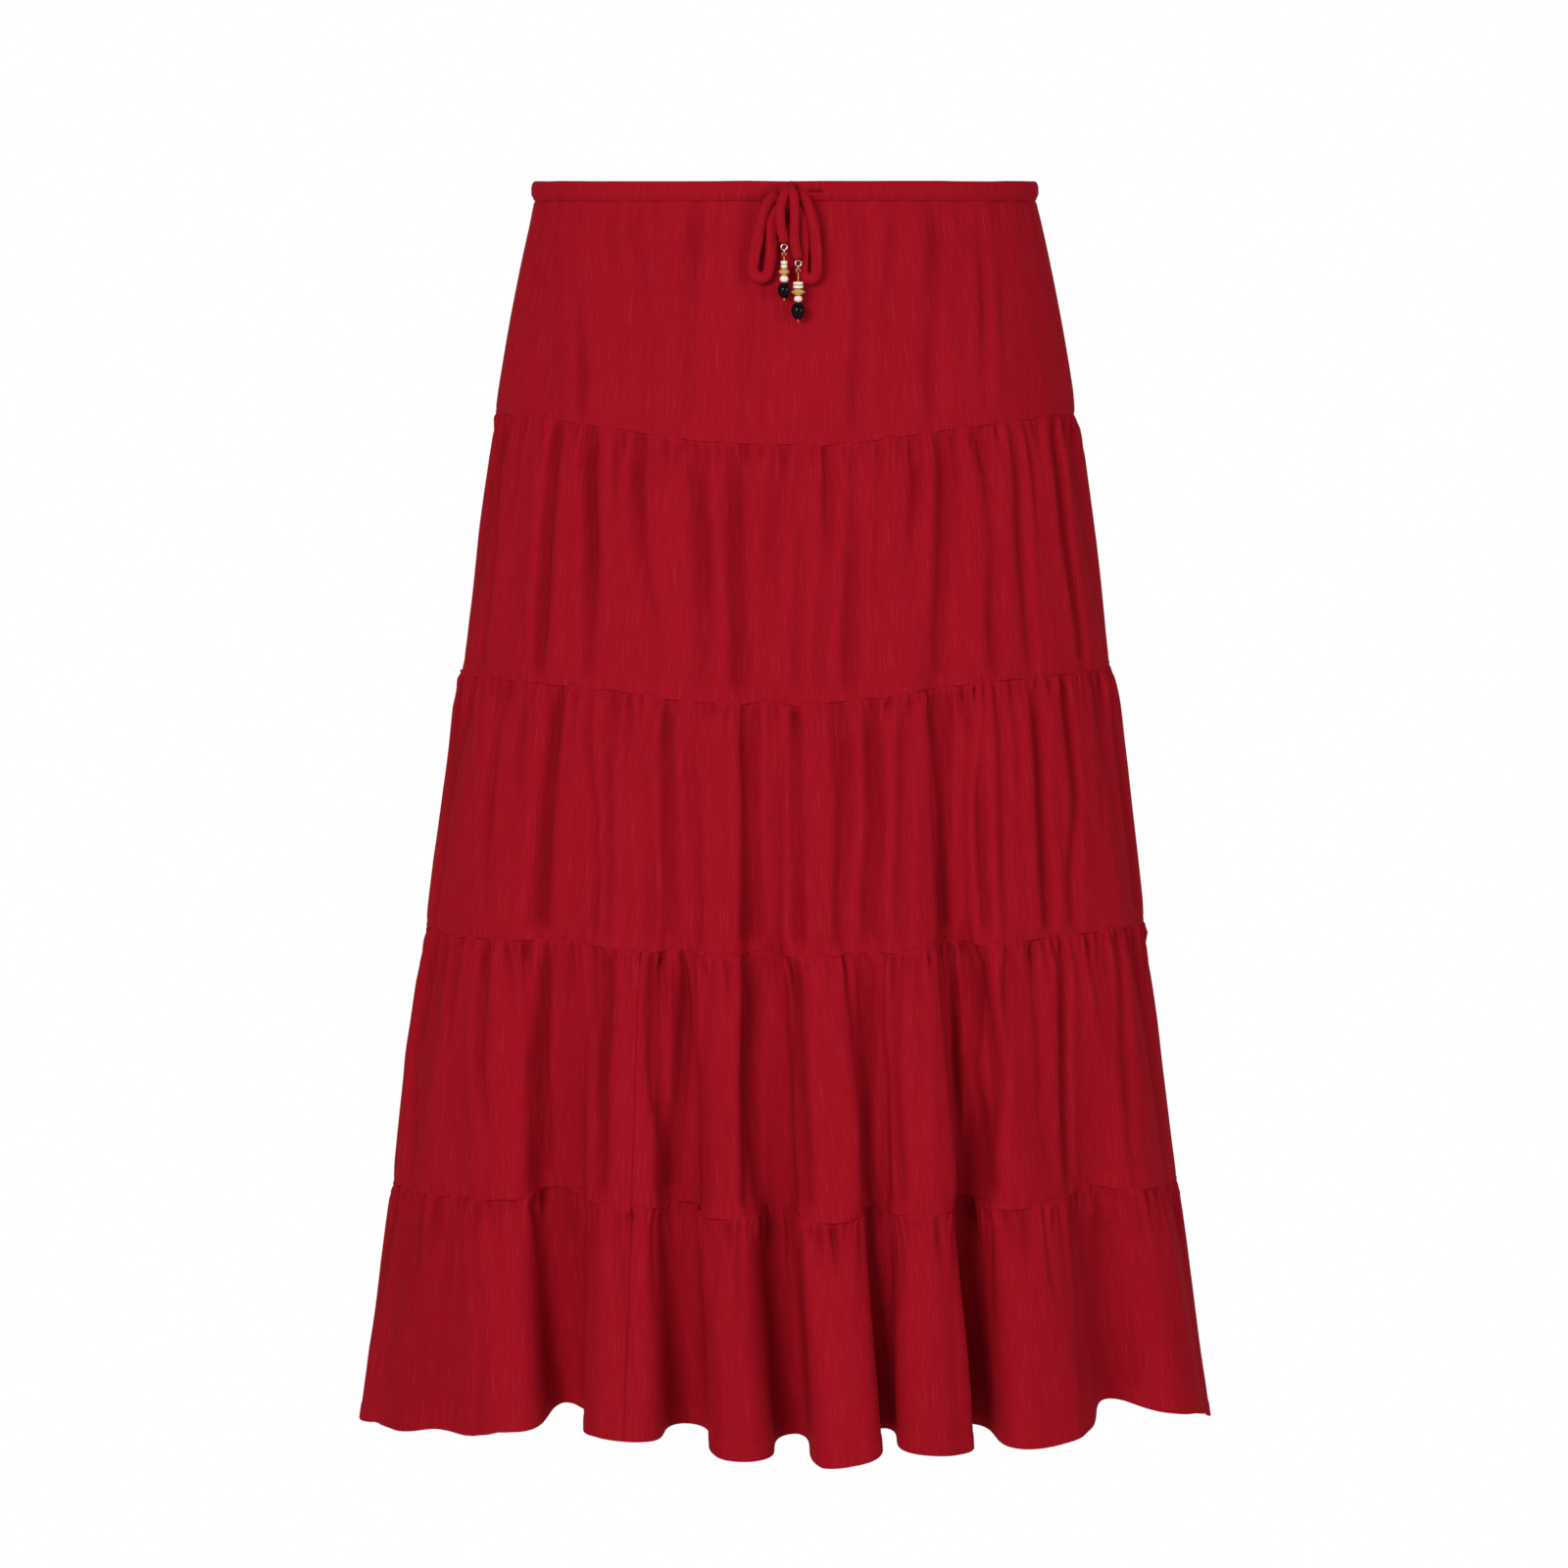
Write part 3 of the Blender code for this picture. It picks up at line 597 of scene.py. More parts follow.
    def height(self, around: np.ndarray, level: np.ndarray) -> np.ndarray:
        """All relief of the tier together.

        Args:
            around: places around the skirt, in folds.
            level: places down the skirt, in tiers.

        Returns:
            How far the cloth stands out there, in millimetres.
        """
        tier, form, seed = TIERS[self._tier], self._form, self._seed
        down = np.clip(level - self._tier, 0.0, 1.0)
        below, above = down * form.tall(self._tier), (1 - down) * form.tall(self._tier)
        along, angle = self.along(around), form.angle(around, level)
        in_front = self._on_front(angle)
        small, middling, large = TUCKS[self._tier]

        broad = tier.gather * np.cos(2 * math.pi * tier.gathers * around)
        found = 0.45 * broad * np.exp(-below / GATHER_REACH)
        found += self._placed(angle, down)
        found += self._drape(self.share(around), down) * np.clip(below / DRAPE_FROM, 0.0, 1.0)
        found += self.tucks(large, seed + 30, along, below) * (1 + (large.front - 1) * in_front)
        if self.under is not None:
            found = found * np.clip(above / SEAM_CALM, 0.0, 1.0)
            found += self.tucks(PUCKERS, seed + 50, along, above)
        kept = 1 + (middling.front - 1) * in_front
        found += self.tucks(middling, seed + 20, along, below) * kept
        found += self.tucks(small, seed + 10, along, below)
        if self._tier == 0:
            found = self._behind_bow(found, angle, level)
        if self.under is None:
            middle, width, more = FILLED_SIDE
            found += more * down * bell(np.degrees(self._front(angle)), middle, width)
        return found

    def _behind_bow(self, found: np.ndarray, angle: np.ndarray, level: np.ndarray) -> np.ndarray:
        """Keeps the cloth behind the bow and the beads where its solid is.

        Args:
            found: how far the cloth stands out, in millimetres.
            angle: directions from the middle, in radians.
            level: places down the skirt, in tiers.

        Returns:
            How far it stands out now.
        """
        x = np.abs(self._front(angle)) * self._form.at_level("half_width", level)
        near = 1 - np.clip((x - BOW_HALF) / BOW_FADE, 0.0, 1.0)
        return found * (1 - near) + np.minimum(found, BEHIND_BOW) * near


# ------------------------ materials
def linear(hex_colour: str) -> tuple[float, float, float, float]:
    """Turns an sRGB colour into the linear one that a shader takes.

    Args:
        hex_colour: the colour, such as "#9e1420".

    Returns:
        Its linear red, green, blue and alpha.
    """
    parts = [int(hex_colour[place : place + 2], 16) / 255.0 for place in (1, 3, 5)]
    steep = [((part + 0.055) / 1.055) ** 2.4 for part in parts]
    return (*(s if part > 0.04045 else part / 12.92 for s, part in zip(steep, parts)), 1.0)


def add_node(
    tree: NodeTree,
    kind: str,
    settings: dict[str, object] | None = None,
    inputs: dict[str | int, object] | None = None,
) -> Node:
    """Adds a node with its settings and links.

    Args:
        tree: the node tree that gets it.
        kind: the node's type, such as "ShaderNodeBump".
        settings: values of its properties.
        inputs: for each input, by name or number, a value or the output that feeds it.

    Returns:
        The new node.
    """
    node = tree.nodes.new(kind)
    for name, value in (settings or {}).items():
        setattr(node, name, value)
    for place, value in (inputs or {}).items():
        if isinstance(value, NodeSocket):
            tree.links.new(value, node.inputs[place])
        else:
            node.inputs[place].default_value = value
    return node


def blend(tree: NodeTree, share: object, first: object, second: object) -> object:
    """Adds a node that mixes two colours.

    Args:
        tree: the node tree that gets it.
        share: how much of the second colour there is.
        first: the first colour, as a value or an output.
        second: the second colour.

    Returns:
        The output with the mixed colour.
    """
    mixed = add_node(
        tree, "ShaderNodeMix", {"data_type": "RGBA"}, {0: share, 6: first, 7: second}
    )
    return mixed.outputs[2]


def ramp(tree: NodeTree, value: object, **ends: float) -> object:
    """Adds a node that maps a value to another range.

    Args:
        tree: the node tree that gets it.
        value: the output that is mapped.
        ends: the ends of both ranges, such as to_min.

    Returns:
        The output with the mapped value.
    """
    named = {name.replace("_", " ").title(): end for name, end in ends.items()}
    return add_node(tree, "ShaderNodeMapRange", inputs={"Value": value, **named}).outputs["Result"]


def streaks(tree: NodeTree, place: object, size: tuple, **settings: float) -> object:
    """Adds drawn-out noise.

    Args:
        tree: the node tree that gets it.
        place: the output with the place, in metres.
        size: how long its marks are along x, y and z, in millimetres.
        settings: the noise's own inputs, such as Detail.

    Returns:
        The output with the noise, from 0 to 1.
    """
    scale = tuple(1000.0 / length for length in size)
    spread = add_node(tree, "ShaderNodeMapping", inputs={"Vector": place, "Scale": scale})
    inputs = {"Vector": spread.outputs["Vector"], "Scale": 1.0, **settings}
    return add_node(tree, "ShaderNodeTexNoise", inputs=inputs).outputs["Fac"]


def blank_material(name: str) -> tuple[Material, NodeTree, Node]:
    """Starts a material with only its principled shader.

    Args:
        name: the material's name.

    Returns:
        The material, its node tree and the shader.
    """
    made = bpy.data.materials.new(name)
    made.use_nodes = True
    tree = made.node_tree
    tree.nodes.clear()
    shader = add_node(tree, "ShaderNodeBsdfPrincipled")
    add_node(tree, "ShaderNodeOutputMaterial", inputs={"Surface": shader.outputs["BSDF"]})
    return made, tree, shader


def set_inputs(node: Node, values: dict[str, object]) -> None:
    """Sets constants on a node's inputs, by their names."""
    for name, value in values.items():
        node.inputs[name].default_value = value


def finish(
    tree: NodeTree,
    shader: Node,
    colour: object,
    height: object,
    strength: float,
    relief: float,
) -> None:
    """Gives a shader its colour and its bumps.

    Args:
        tree: the material's node tree.
        shader: its principled shader.
        colour: the output with the colour.
        height: the output with the bumps' height, from 0 to 1.
        strength: how much the bumps turn the light.
        relief: how high they are, in millimetres.
    """
    inputs = {"Strength": strength, "Distance": relief * MM, "Height": height}
    bump = add_node(tree, "ShaderNodeBump", inputs=inputs)
    tree.links.new(colour, shader.inputs["Base Color"])
    tree.links.new(bump.outputs["Normal"], shader.inputs["Normal"])


@dataclass(frozen=True)
class SlubCloth:
    """Linen and viscose in a plain weave, piece-dyed deep red. Its uneven threads give fine
    upright streaks, its short fibres a dull face with a faint warm sheen. Lengths are in
    millimetres."""

    name: str = "slub_linen_viscose_plain_weave"
    colour: str = "#a81324"
    deep: str = "#960d1c"
    slub: str = "#b62836"
    painted_shade: str = "#5e040a"  # painted shade: the dark colour painted into creases and the tie's slit, where shade falls
    painted_shade_share: float = 0.45
    stitch: str = "#a4141f"
    sheen: str = "#c8202c"
    thread: float = 0.9  # between threads, twice the real ones so that they show
    slub_width: float = 0.9
    slub_length: float = 26.0
    cloud: tuple[float, float] = (55.0, 140.0)  # where the dye took a little less
    stitch_length: float = 3.2
    stitch_reach: float = 0.45
    relief: float = 0.22

    def build(self) -> Material:
        """Makes the material, which reads the cloth's own map in metres.

        Returns:
            The new material.
        """
        made, tree, shader = blank_material(self.name)
        place = add_node(tree, "ShaderNodeUVMap", {"uv_map": "cloth"}).outputs["UV"]
        split = add_node(tree, "ShaderNodeSeparateXYZ", inputs={0: place})

        def combine(kind: str, first: object, second: object) -> NodeSocket:
            """Adds a node that works out one number from two."""
            node = add_node(tree, "ShaderNodeMath", {"operation": kind}, {0: first, 1: second})
            return node.outputs[0]

        def noise(across: float, along: float, detail: float) -> object:
            """Adds noise that is so many millimetres wide and long."""
            return streaks(tree, place, (across, along, 1000.0), Detail=detail, Roughness=0.55)

        def wave(axis: int, length: float) -> NodeSocket:
            """Adds a wave along one side of the map, of a length in millimetres."""
            turn = combine("MULTIPLY", split.outputs[axis], FULL_TURN / (length * MM))
            return combine("SINE", turn, 0.0)

        upright = noise(self.slub_width, self.slub_length, 3.0)
        level = noise(self.slub_length * 0.7, self.slub_width, 2.0)
        cloudy = noise(*self.cloud, 2.0)
        weave = combine("MULTIPLY", wave(0, self.thread), wave(1, self.thread))
        height = combine("ADD", combine("MULTIPLY", upright, 1.1), combine("MULTIPLY", level, 0.6))
        height = combine("ADD", height, combine("MULTIPLY", weave, 0.16))
        sewn = add_node(tree, "ShaderNodeAttribute", {"attribute_name": "stitch"}).outputs["Fac"]
        painted_shade_mask = add_node(tree, "ShaderNodeAttribute", {"attribute_name": "painted_shade"}).outputs["Fac"]
        dash = combine("GREATER_THAN", wave(0, self.stitch_length), -0.45)
        stitch = combine("MULTIPLY", dash, combine("LESS_THAN", sewn, self.stitch_reach))

        dyed = combine("SMOOTH_MIN", combine("MULTIPLY", cloudy, 0.9), 1.0)
        colour = blend(tree, dyed, linear(self.deep), linear(self.colour))
        lit = combine("MULTIPLY", combine("SUBTRACT", upright, 0.52), 2.2)
        colour = blend(tree, lit, colour, linear(self.slub))
        # painted shade: creases and the slit get a darker colour that stands in for their shade
        dark = combine("MULTIPLY", painted_shade_mask, self.painted_shade_share)
        colour = blend(tree, dark, colour, linear(self.painted_shade))
        colour = blend(tree, stitch, colour, linear(self.stitch))
        height = combine("ADD", height, combine("MULTIPLY", stitch, 0.5))
        finish(tree, shader, colour, height, 0.8, self.relief)
        set_inputs(
            shader,
            {
                "Roughness": 0.88,
                "Specular IOR Level": 0.03,
                "Sheen Weight": 0.03,
                "Sheen Roughness": 0.45,
                "Sheen Tint": linear(self.sheen),
            },
        )
        return made


@dataclass(frozen=True)
class SpeckledFinish:
    """A hard finish whose colour drifts between two shades, with fine marks on its surface."""

    name: str
    light: str
    dark: str
    roughness: float
    metallic: float
    grain: Point  # millimetres along x, y and z
    mark: float  # height of the marks, in millimetres
    coat: float = 0.0
    specular: float = 0.5

    def build(self) -> Material:
        """Makes the material, which reads Object coordinates.

        Returns:
            The new material.
        """
        made, tree, shader = blank_material(self.name)
        place = add_node(tree, "ShaderNodeTexCoord").outputs["Object"]
        grain = streaks(tree, place, self.grain, Detail=4.0)
        colour = blend(tree, grain, linear(self.dark), linear(self.light))
        dull, bright = self.roughness * 1.25, self.roughness * 0.8
        rough = ramp(tree, grain, from_min=0.3, from_max=0.7, to_min=dull, to_max=bright)
        tree.links.new(rough, shader.inputs["Roughness"])
        finish(tree, shader, colour, grain, 0.6, self.mark)
        set_inputs(
            shader,
            {
                "Metallic": self.metallic,
                "Specular IOR Level": self.specular,
                "Coat Weight": self.coat,
                "Coat Roughness": 0.06,
            },
        )
        return made


class Wear(Enum):
    """The finishes of the parts on the strings of beads, named for what they are."""

    SHELL = SpeckledFinish(
        "shell_cut_and_tumbled", "#fbf6ea", "#e6dac4", 0.34, 0.0, (3.0, 3.0, 0.5), 0.06, 0.15
    )
    WOOD = SpeckledFinish(
        "wood_turned_and_waxed", "#ebb766", "#cf8f3c", 0.42, 0.0, (4.0, 4.0, 0.45), 0.05, 0.2
    )
    GLASS = SpeckledFinish(
        "black_glass_pressed", "#040405", "#010102", 0.08, 0.0, (6.0, 6.0, 6.0), 0.01, 0.0, 0.16
    )
    SILVER = SpeckledFinish(
        "steel_wire_silver_plated", "#fbfaf7", "#a8a49c", 0.22, 1.0, (0.9, 0.9, 0.9), 0.02
    )
    GOLD = SpeckledFinish(
        "brass_wire_drawn", "#e2b25c", "#a97a30", 0.28, 1.0, (0.8, 0.8, 1.6), 0.02
    )


# ------------------------ meshes
UNSEWN = 99.0  # a distance from any stitches that is too far to show them


def place_object(
    name: str,
    mesh: Mesh,
    made: Material,
    body: str,
) -> Object:
    """Puts a finished mesh in the scene, at the origin.

    Args:
        name: the new object's name.
        mesh: its mesh.
        made: its material.
        body: the body that it rides on.

    Returns:
        The new object.
    """
    mesh.materials.append(made)
    mesh.shade_smooth()
    piece = bpy.data.objects.new(name, mesh)
    bpy.context.scene.collection.objects.link(piece)
    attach(piece, body)
    return piece


def finished(sculpted: bmesh.types.BMesh, name: str) -> Mesh:
    """Turns a bmesh into a mesh.

    Args:
        sculpted: the bmesh, which is freed.
        name: the mesh's name.

    Returns:
        The new mesh.
    """
    mesh = bpy.data.meshes.new(name)
    sculpted.to_mesh(mesh)
    sculpted.free()
    return mesh


def bent_grid(columns: int, rows: int) -> tuple[Mesh, np.ndarray]:
    """A flat grid of quads, ready to be bent.

    Args:
        columns: faces along its first side.
        rows: faces along its second side.

    Returns:
        The mesh, and each vertex's place from 0 to 1 along both sides.
    """
    sculpted = bmesh.new()
    bmesh.ops.create_grid(sculpted, x_segments=columns, y_segments=rows, size=0.5)
    mesh = finished(sculpted, "grid")
    flat = np.empty(len(mesh.vertices) * 3)
    mesh.vertices.foreach_get("co", flat)
    return mesh, np.clip(flat.reshape(-1, 3)[:, :2] + 0.5, 0.0, 1.0)


def bend(mesh: Mesh, points: np.ndarray, places: np.ndarray) -> None:
    """Moves a grid's vertices and gives it its own map in metres.

    Args:
        mesh: the grid.
        points: where each vertex goes, in millimetres.
        places: each vertex's place on the cloth, in millimetres.
    """
    mesh.vertices.foreach_set("co", (points * MM).astype(np.float32).ravel())
    layer = mesh.uv_layers.new(name="cloth")
    corner = np.empty(len(mesh.loops), dtype=np.int32)
    mesh.loops.foreach_get("vertex_index", corner)
    layer.data.foreach_set("uv", (places * MM)[corner].astype(np.float32).ravel())


def mark(mesh: Mesh, name: str, values: np.ndarray) -> None:
    """Stores a number for each vertex.

    Args:
        mesh: the mesh that gets them.
        name: "stitch" for the distance from a line of stitches in millimetres, or the painted
        shade's name for how much shade is painted into the colour there, from 0 to 1.
        values: the numbers.
    """
    layer = mesh.attributes.new(name, "FLOAT", "POINT")
    layer.data.foreach_set("value", values.astype(np.float32))


def close_tube(mesh: Mesh, capped: bool) -> None:
    """Joins the edges of a grid that was bent into a tube.

    Args:
        mesh: the bent grid.
        capped: whether its two ends are closed with a face each.
    """
    sculpted = bmesh.new()
    sculpted.from_mesh(mesh)
    bmesh.ops.remove_doubles(sculpted, verts=sculpted.verts, dist=1e-6)
    if capped:
        open_edges = [edge for edge in sculpted.edges if edge.is_boundary]
        bmesh.ops.holes_fill(sculpted, edges=open_edges, sides=0)
    bmesh.ops.recalc_face_normals(sculpted, faces=sculpted.faces)
    sculpted.to_mesh(mesh)
    sculpted.free()


def add_wall(piece: Object, thickness: float) -> None:
    """Gives a shell of cloth its thickness, on its inside.

    Args:
        piece: the shell.
        thickness: in millimetres.
    """
    wall = piece.modifiers.new("wall", "SOLIDIFY")
    wall.thickness = thickness * MM
    wall.offset = -1.0


# ------------------------ the tiers
TOP_ROWS = (0.0, 0.7, 1.5, 2.5, 3.8, 5.4, 7.4, 9.8, 12.5)  # millimetres below the top edge
FOOT_ROWS = (12.8, 10.6, 9.6, 8.6, 6.6, 4.8, 3.2, 2.0, 1.0, 0.4, 0.0)  # above the lower edge
BETWEEN, ROW_STEP = 16.0, 6.0  # how far from both edges even rows start, and their distance
SIDE_SEAM = (1.6, 0.45)  # of an upright seam: half its width and its depth, in millimetres
TOP_EDGE, LOW_EDGE = (1.6, 0.4), (1.2, 0.25)  # how far each turns in, and how deep
GAP_FLOOR, GAP_SLOPE = 1.6, 0.6  # the deepest relief at a top edge, and how it grows below
YOKE_FILLED, YOKE_TUCK, YOKE_RISE = 1.6, 1.2, 1.5  # how the yoke goes up into the casing
HEM_STEP, GROOVE = 0.8, (1.0, 0.35)  # of the hem's fold and of its line of stitches


@dataclass(frozen=True)
class Panel:
    """One sewn piece of a tier, from one crest to another.

    Attributes:
        node: the solid that it stands for.
        tier: the number of its tier.
        first: the crest where it starts.
        last: the crest where it ends.
        cut: the width and length that it was cut to, in metres.
        column: the width of its faces, in millimetres.
        lap: how far its top edge goes up behind the piece above, in millimetres.
        stitches: the height of the stitches above the hem, in millimetres.
        fold: how far the hem's fold reaches and how much it stands out, in millimetres.
    """

    node: str
    tier: int
    first: int
    last: int
    cut: tuple[float, float]
    column: float = 1.45
    lap: float = 2.2
    stitches: float = 9.6
    fold: tuple[float, float] = (10.8, 0.45)

    def _rows(self, tall: float) -> np.ndarray:
        """Where the rows of points are.

        Args:
            tall: the tier's height in millimetres.

        Returns:
            Shares of that height, closer together at the seams.
        """
        top = (-self.lap, -self.lap / 2, *TOP_ROWS)
        count = int(round((tall - 2 * BETWEEN) / ROW_STEP)) + 1
        middle = np.linspace(BETWEEN, tall - BETWEEN, count)
        return np.concatenate([top, middle, tall - np.array(FOOT_ROWS)]) / tall

    def _sew(
        self, out: np.ndarray, sides: np.ndarray, below: np.ndarray, above: np.ndarray
    ) -> np.ndarray:
        """Adds the seams and the hem to the relief.

        Args:
            out: how far the cloth stands out, in millimetres.
            sides: the distance from the nearest upright side seam.
            below: the distance below the top edge, less than 0 in the lap.
            above: the distance above the lower edge.

        Returns:
            How far it stands out now.
        """
        if self.tier > 0:  # no gap opens at the seam above
            out = np.maximum(out, -GAP_FLOOR - GAP_SLOPE * np.maximum(below, 0.0))
        width, depth = SIDE_SEAM
        out = out - depth * bell(sides, 0.0, width)
        reach, depth = TOP_EDGE
        out = out - depth * (1 - np.clip(below / reach, 0.0, 1.0))
        filled = PINCH_FILLED if self.tier > 0 else YOKE_FILLED
        out = out + filled * np.exp(-below / PINCH_REACH)
        if self.tier == 0:
            out = out - YOKE_TUCK * np.clip(-below / self.lap, 0.0, 1.0)
        if self.tier + 1 < len(TIERS):
            reach, depth = LOW_EDGE
            out = out + PINCH_FILLED * np.exp(-above / PINCH_REACH)
            return out - depth * (1 - np.clip(above / reach, 0.0, 1.0))
        reach, proud = self.fold
        out = out + proud * np.clip((reach - above) / HEM_STEP, 0.0, 1.0)
        width, depth = GROOVE
        return out - depth * bell(above, self.stitches, width)

    def build(self, form: ClothForm, relief: Relief, made: Material) -> Object:
        """Makes the panel.

        Args:
            form: the surface that the tiers lie on.
            relief: the gathers and creases of its tier.
            made: the cloth's material.

        Returns:
            The finished object.
        """
        tall = form.tall(self.tier)
        fine = np.linspace(self.first, self.last, ARC_STEPS * (self.last - self.first) + 1)
        arc = form.arc(fine, self.tier + HEM_LINE, self.tier)
        columns = int(round(arc[-1] / self.column))
        downs = self._rows(tall)
        mesh, flat = bent_grid(columns, len(downs) - 1)
        along = flat[:, 0] * arc[-1]
        around = np.interp(along, arc, fine)
        down = np.interp(flat[:, 1], np.linspace(0.0, 1.0, len(downs)), downs)
        level, below, above = self.tier + down, down * tall, (1 - down) * tall

        points = form.point(around, level, self.tier)
        if self.tier == 0:  # the yoke's top edge goes up into the casing
            raised = LEVELS[0].height - YOKE_RISE * below
            points[:, 2] = np.where(down < 0, raised, points[:, 2])
        out = relief.height(around, level)
        # painted shade: the deeper a crease of the relief, the darker the colour painted there
        mark(mesh, "painted_shade", np.clip(-out / DEEPEST, 0.0, 1.0))
        out = self._sew(out, np.minimum(along, arc[-1] - along), below, above)
        points[:, :2] += form.outward(around, level, self.tier) * out[:, None]
        points[:, 2] -= relief.lower(around, level)
        bend(mesh, points, np.stack([along, below], -1))
        hem = self.tier + 1 == len(TIERS)
        mark(mesh, "stitch", np.abs(above - self.stitches) if hem else np.full_like(above, UNSEWN))
        mesh.flip_normals()
        mesh.update()

        piece = place_object(self.node + "_cloth", mesh, made, "skirt")
        add_wall(piece, 0.6)
        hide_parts(self.node)
        LOG.info("%s: %d columns, %d rows", piece.name, columns, len(downs))
        return piece


PANELS = (
    Panel("yoke_front", 0, LEFT_SIDE, RIGHT_SIDE, (0.50, 0.15)),
    Panel("yoke_back", 0, RIGHT_SIDE, ALL_ROUND, (0.49, 0.15), 2.0),
    Panel("tier_2_front", 1, LEFT_SIDE, RIGHT_SIDE, (0.56, 0.175)),
    Panel("tier_2_back", 1, RIGHT_SIDE, ALL_ROUND, (0.56, 0.175), 2.0),
    Panel("tier_3_front", 2, LEFT_SIDE, RIGHT_SIDE, (0.68, 0.175)),
    Panel("tier_3_back", 2, RIGHT_SIDE, ALL_ROUND, (0.62, 0.175), 2.0),
    Panel("tier_4_front_left", 3, LEFT_SIDE, PANEL_JOIN, (0.24, 0.175)),
    Panel("tier_4_front_right", 3, PANEL_JOIN, RIGHT_SIDE, (0.66, 0.175)),
    Panel("tier_4_back", 3, RIGHT_SIDE, ALL_ROUND, (0.80, 0.175), 2.0),
    Panel("tier_5_front_left", 4, LEFT_SIDE, PANEL_JOIN, (0.32, 0.165)),
    Panel("tier_5_front_right", 4, PANEL_JOIN, RIGHT_SIDE, (0.86, 0.165)),
    Panel("tier_5_back", 4, RIGHT_SIDE, ALL_ROUND, (1.12, 0.165), 2.0),
)


# ------------------------ the waist
@dataclass(frozen=True)
class Casing:
    """The folded-over top edge, sewn down as a tube for the drawstring, in millimetres."""

    half_height: float = 6.5
    half_thick: float = 3.4
    half_width: float = 166.9
    half_depth: float = 105.0
    squareness: float = 0.80
    cut: tuple[float, float] = (0.86, 0.034)
    slit: tuple[float, float] = (19.5, 5.5)  # the opening for the tie: its middle and half length
    stitches: float = -4.6  # their height
    gathers: int = 96
    faces: tuple[int, int] = (720, 34)

    def build(self, made: Material) -> Object:
        """Makes the casing, with short gathers, its line of stitches and the slit for the tie.

        Args:
            made: the cloth's material.

        Returns:
            The finished object.
        """
        mesh, flat = bent_grid(*self.faces)
        turn, lap = FULL_TURN * flat[:, 0], FULL_TURN * flat[:, 1]
        cos, sin = np.cos(lap), np.sin(lap)
        out = self.half_thick * (np.sign(cos) * np.abs(cos) ** self.squareness - 1)
        up = self.half_height * np.sign(sin) * np.abs(sin) ** self.squareness
        out, up, slit = self._shape(flat[:, 0], lap, out, up)
        x = (self.half_width + out) * np.sin(turn)
        y = -(self.half_depth + out) * np.cos(turn)
        sizes = np.array([math.pi * (self.half_width + self.half_depth), self.cut[1] / MM])
        bend(mesh, np.stack([x, y, up], -1), flat * sizes)
        mark(mesh, "stitch", np.where(cos > 0, np.abs(up - self.stitches), UNSEWN))
        # painted shade inside the slit for the tie
        mark(mesh, "painted_shade", 2.0 * slit)
        close_tube(mesh, False)
        piece = place_object("waist_casing_cloth", mesh, made, "skirt")
        add_wall(piece, 0.5)
        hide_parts("waist_casing")
        LOG.info("%s: a folded tube around the waist", piece.name)
        return piece

    def _shape(
        self, share: np.ndarray, lap: np.ndarray, out: np.ndarray, up: np.ndarray
    ) -> tuple[np.ndarray, np.ndarray, np.ndarray]:
        """Adds the gathers, the stitched groove and the slit to the plain section.

        Args:
            share: places around the waist, from 0 to 1.
            lap: places around the tube, in radians.
            out: how far out the plain section goes there.
            up: how far up it goes.

        Returns:
            How far out and up it goes now, and how much of the slit is there, from 0 to 1.
        """
        turn = FULL_TURN * share
        facing = np.clip(np.cos(lap), 0.0, 1.0)
        phase = share * self.gathers + 0.6 * RingNoise(901, self.gathers // 2)(share)
        ridge = (np.abs(np.cos(math.pi * phase)) - 0.64) * (0.5 + 0.5 * RingNoise(902, 60)(share))
        slow = RingNoise(903, 40)(share)
        out = out + facing * (0.55 * ridge + 0.3 * slow)
        out = out - 0.7 * facing * bell(up, self.stitches, 1.0)  # the stitches draw it in
        middle, half = self.slit
        beside = np.abs(self.half_width * np.sin(turn) - middle)
        inside = np.clip((half - beside) / 1.5, 0.0, 1.0) * (np.cos(turn) > 0)
        slit = facing * inside * bell(up, 0.4, 0.9)
        return out - 2.6 * slit, up + 0.18 * slow * np.abs(np.sin(lap)), slit


# ------------------------ the bow
def smooth_route(route: tuple[Point, ...], spacing: float) -> np.ndarray:
    """Even points on a smooth curve through a route.

    Args:
        route: the points that it goes through, in millimetres.
        spacing: how far apart the new points are, in millimetres.

    Returns:
        An array of points in millimetres.
    """
    points = [np.array(point, float) for point in route]
    ends = [2 * points[0] - points[1], *points, 2 * points[-1] - points[-2]]
    found = []
    for before, here, after, beyond in zip(ends, ends[1:], ends[2:], ends[3:]):
        straight = after - before
        bent = 2 * before - 5 * here + 4 * after - beyond
        turned = 3 * here - before - 3 * after + beyond
        for t in np.arange(8) / 8:
            found.append(0.5 * (2 * here + straight * t + bent * t**2 + turned * t**3))
    line = np.array([*found, points[-1]])
    along = run_lengths(line)
    count = max(int(round(along[-1] / spacing)), 3) + 1
    places = np.linspace(0.0, along[-1], count)
    return np.stack([np.interp(places, along, line[:, axis]) for axis in range(3)], -1)


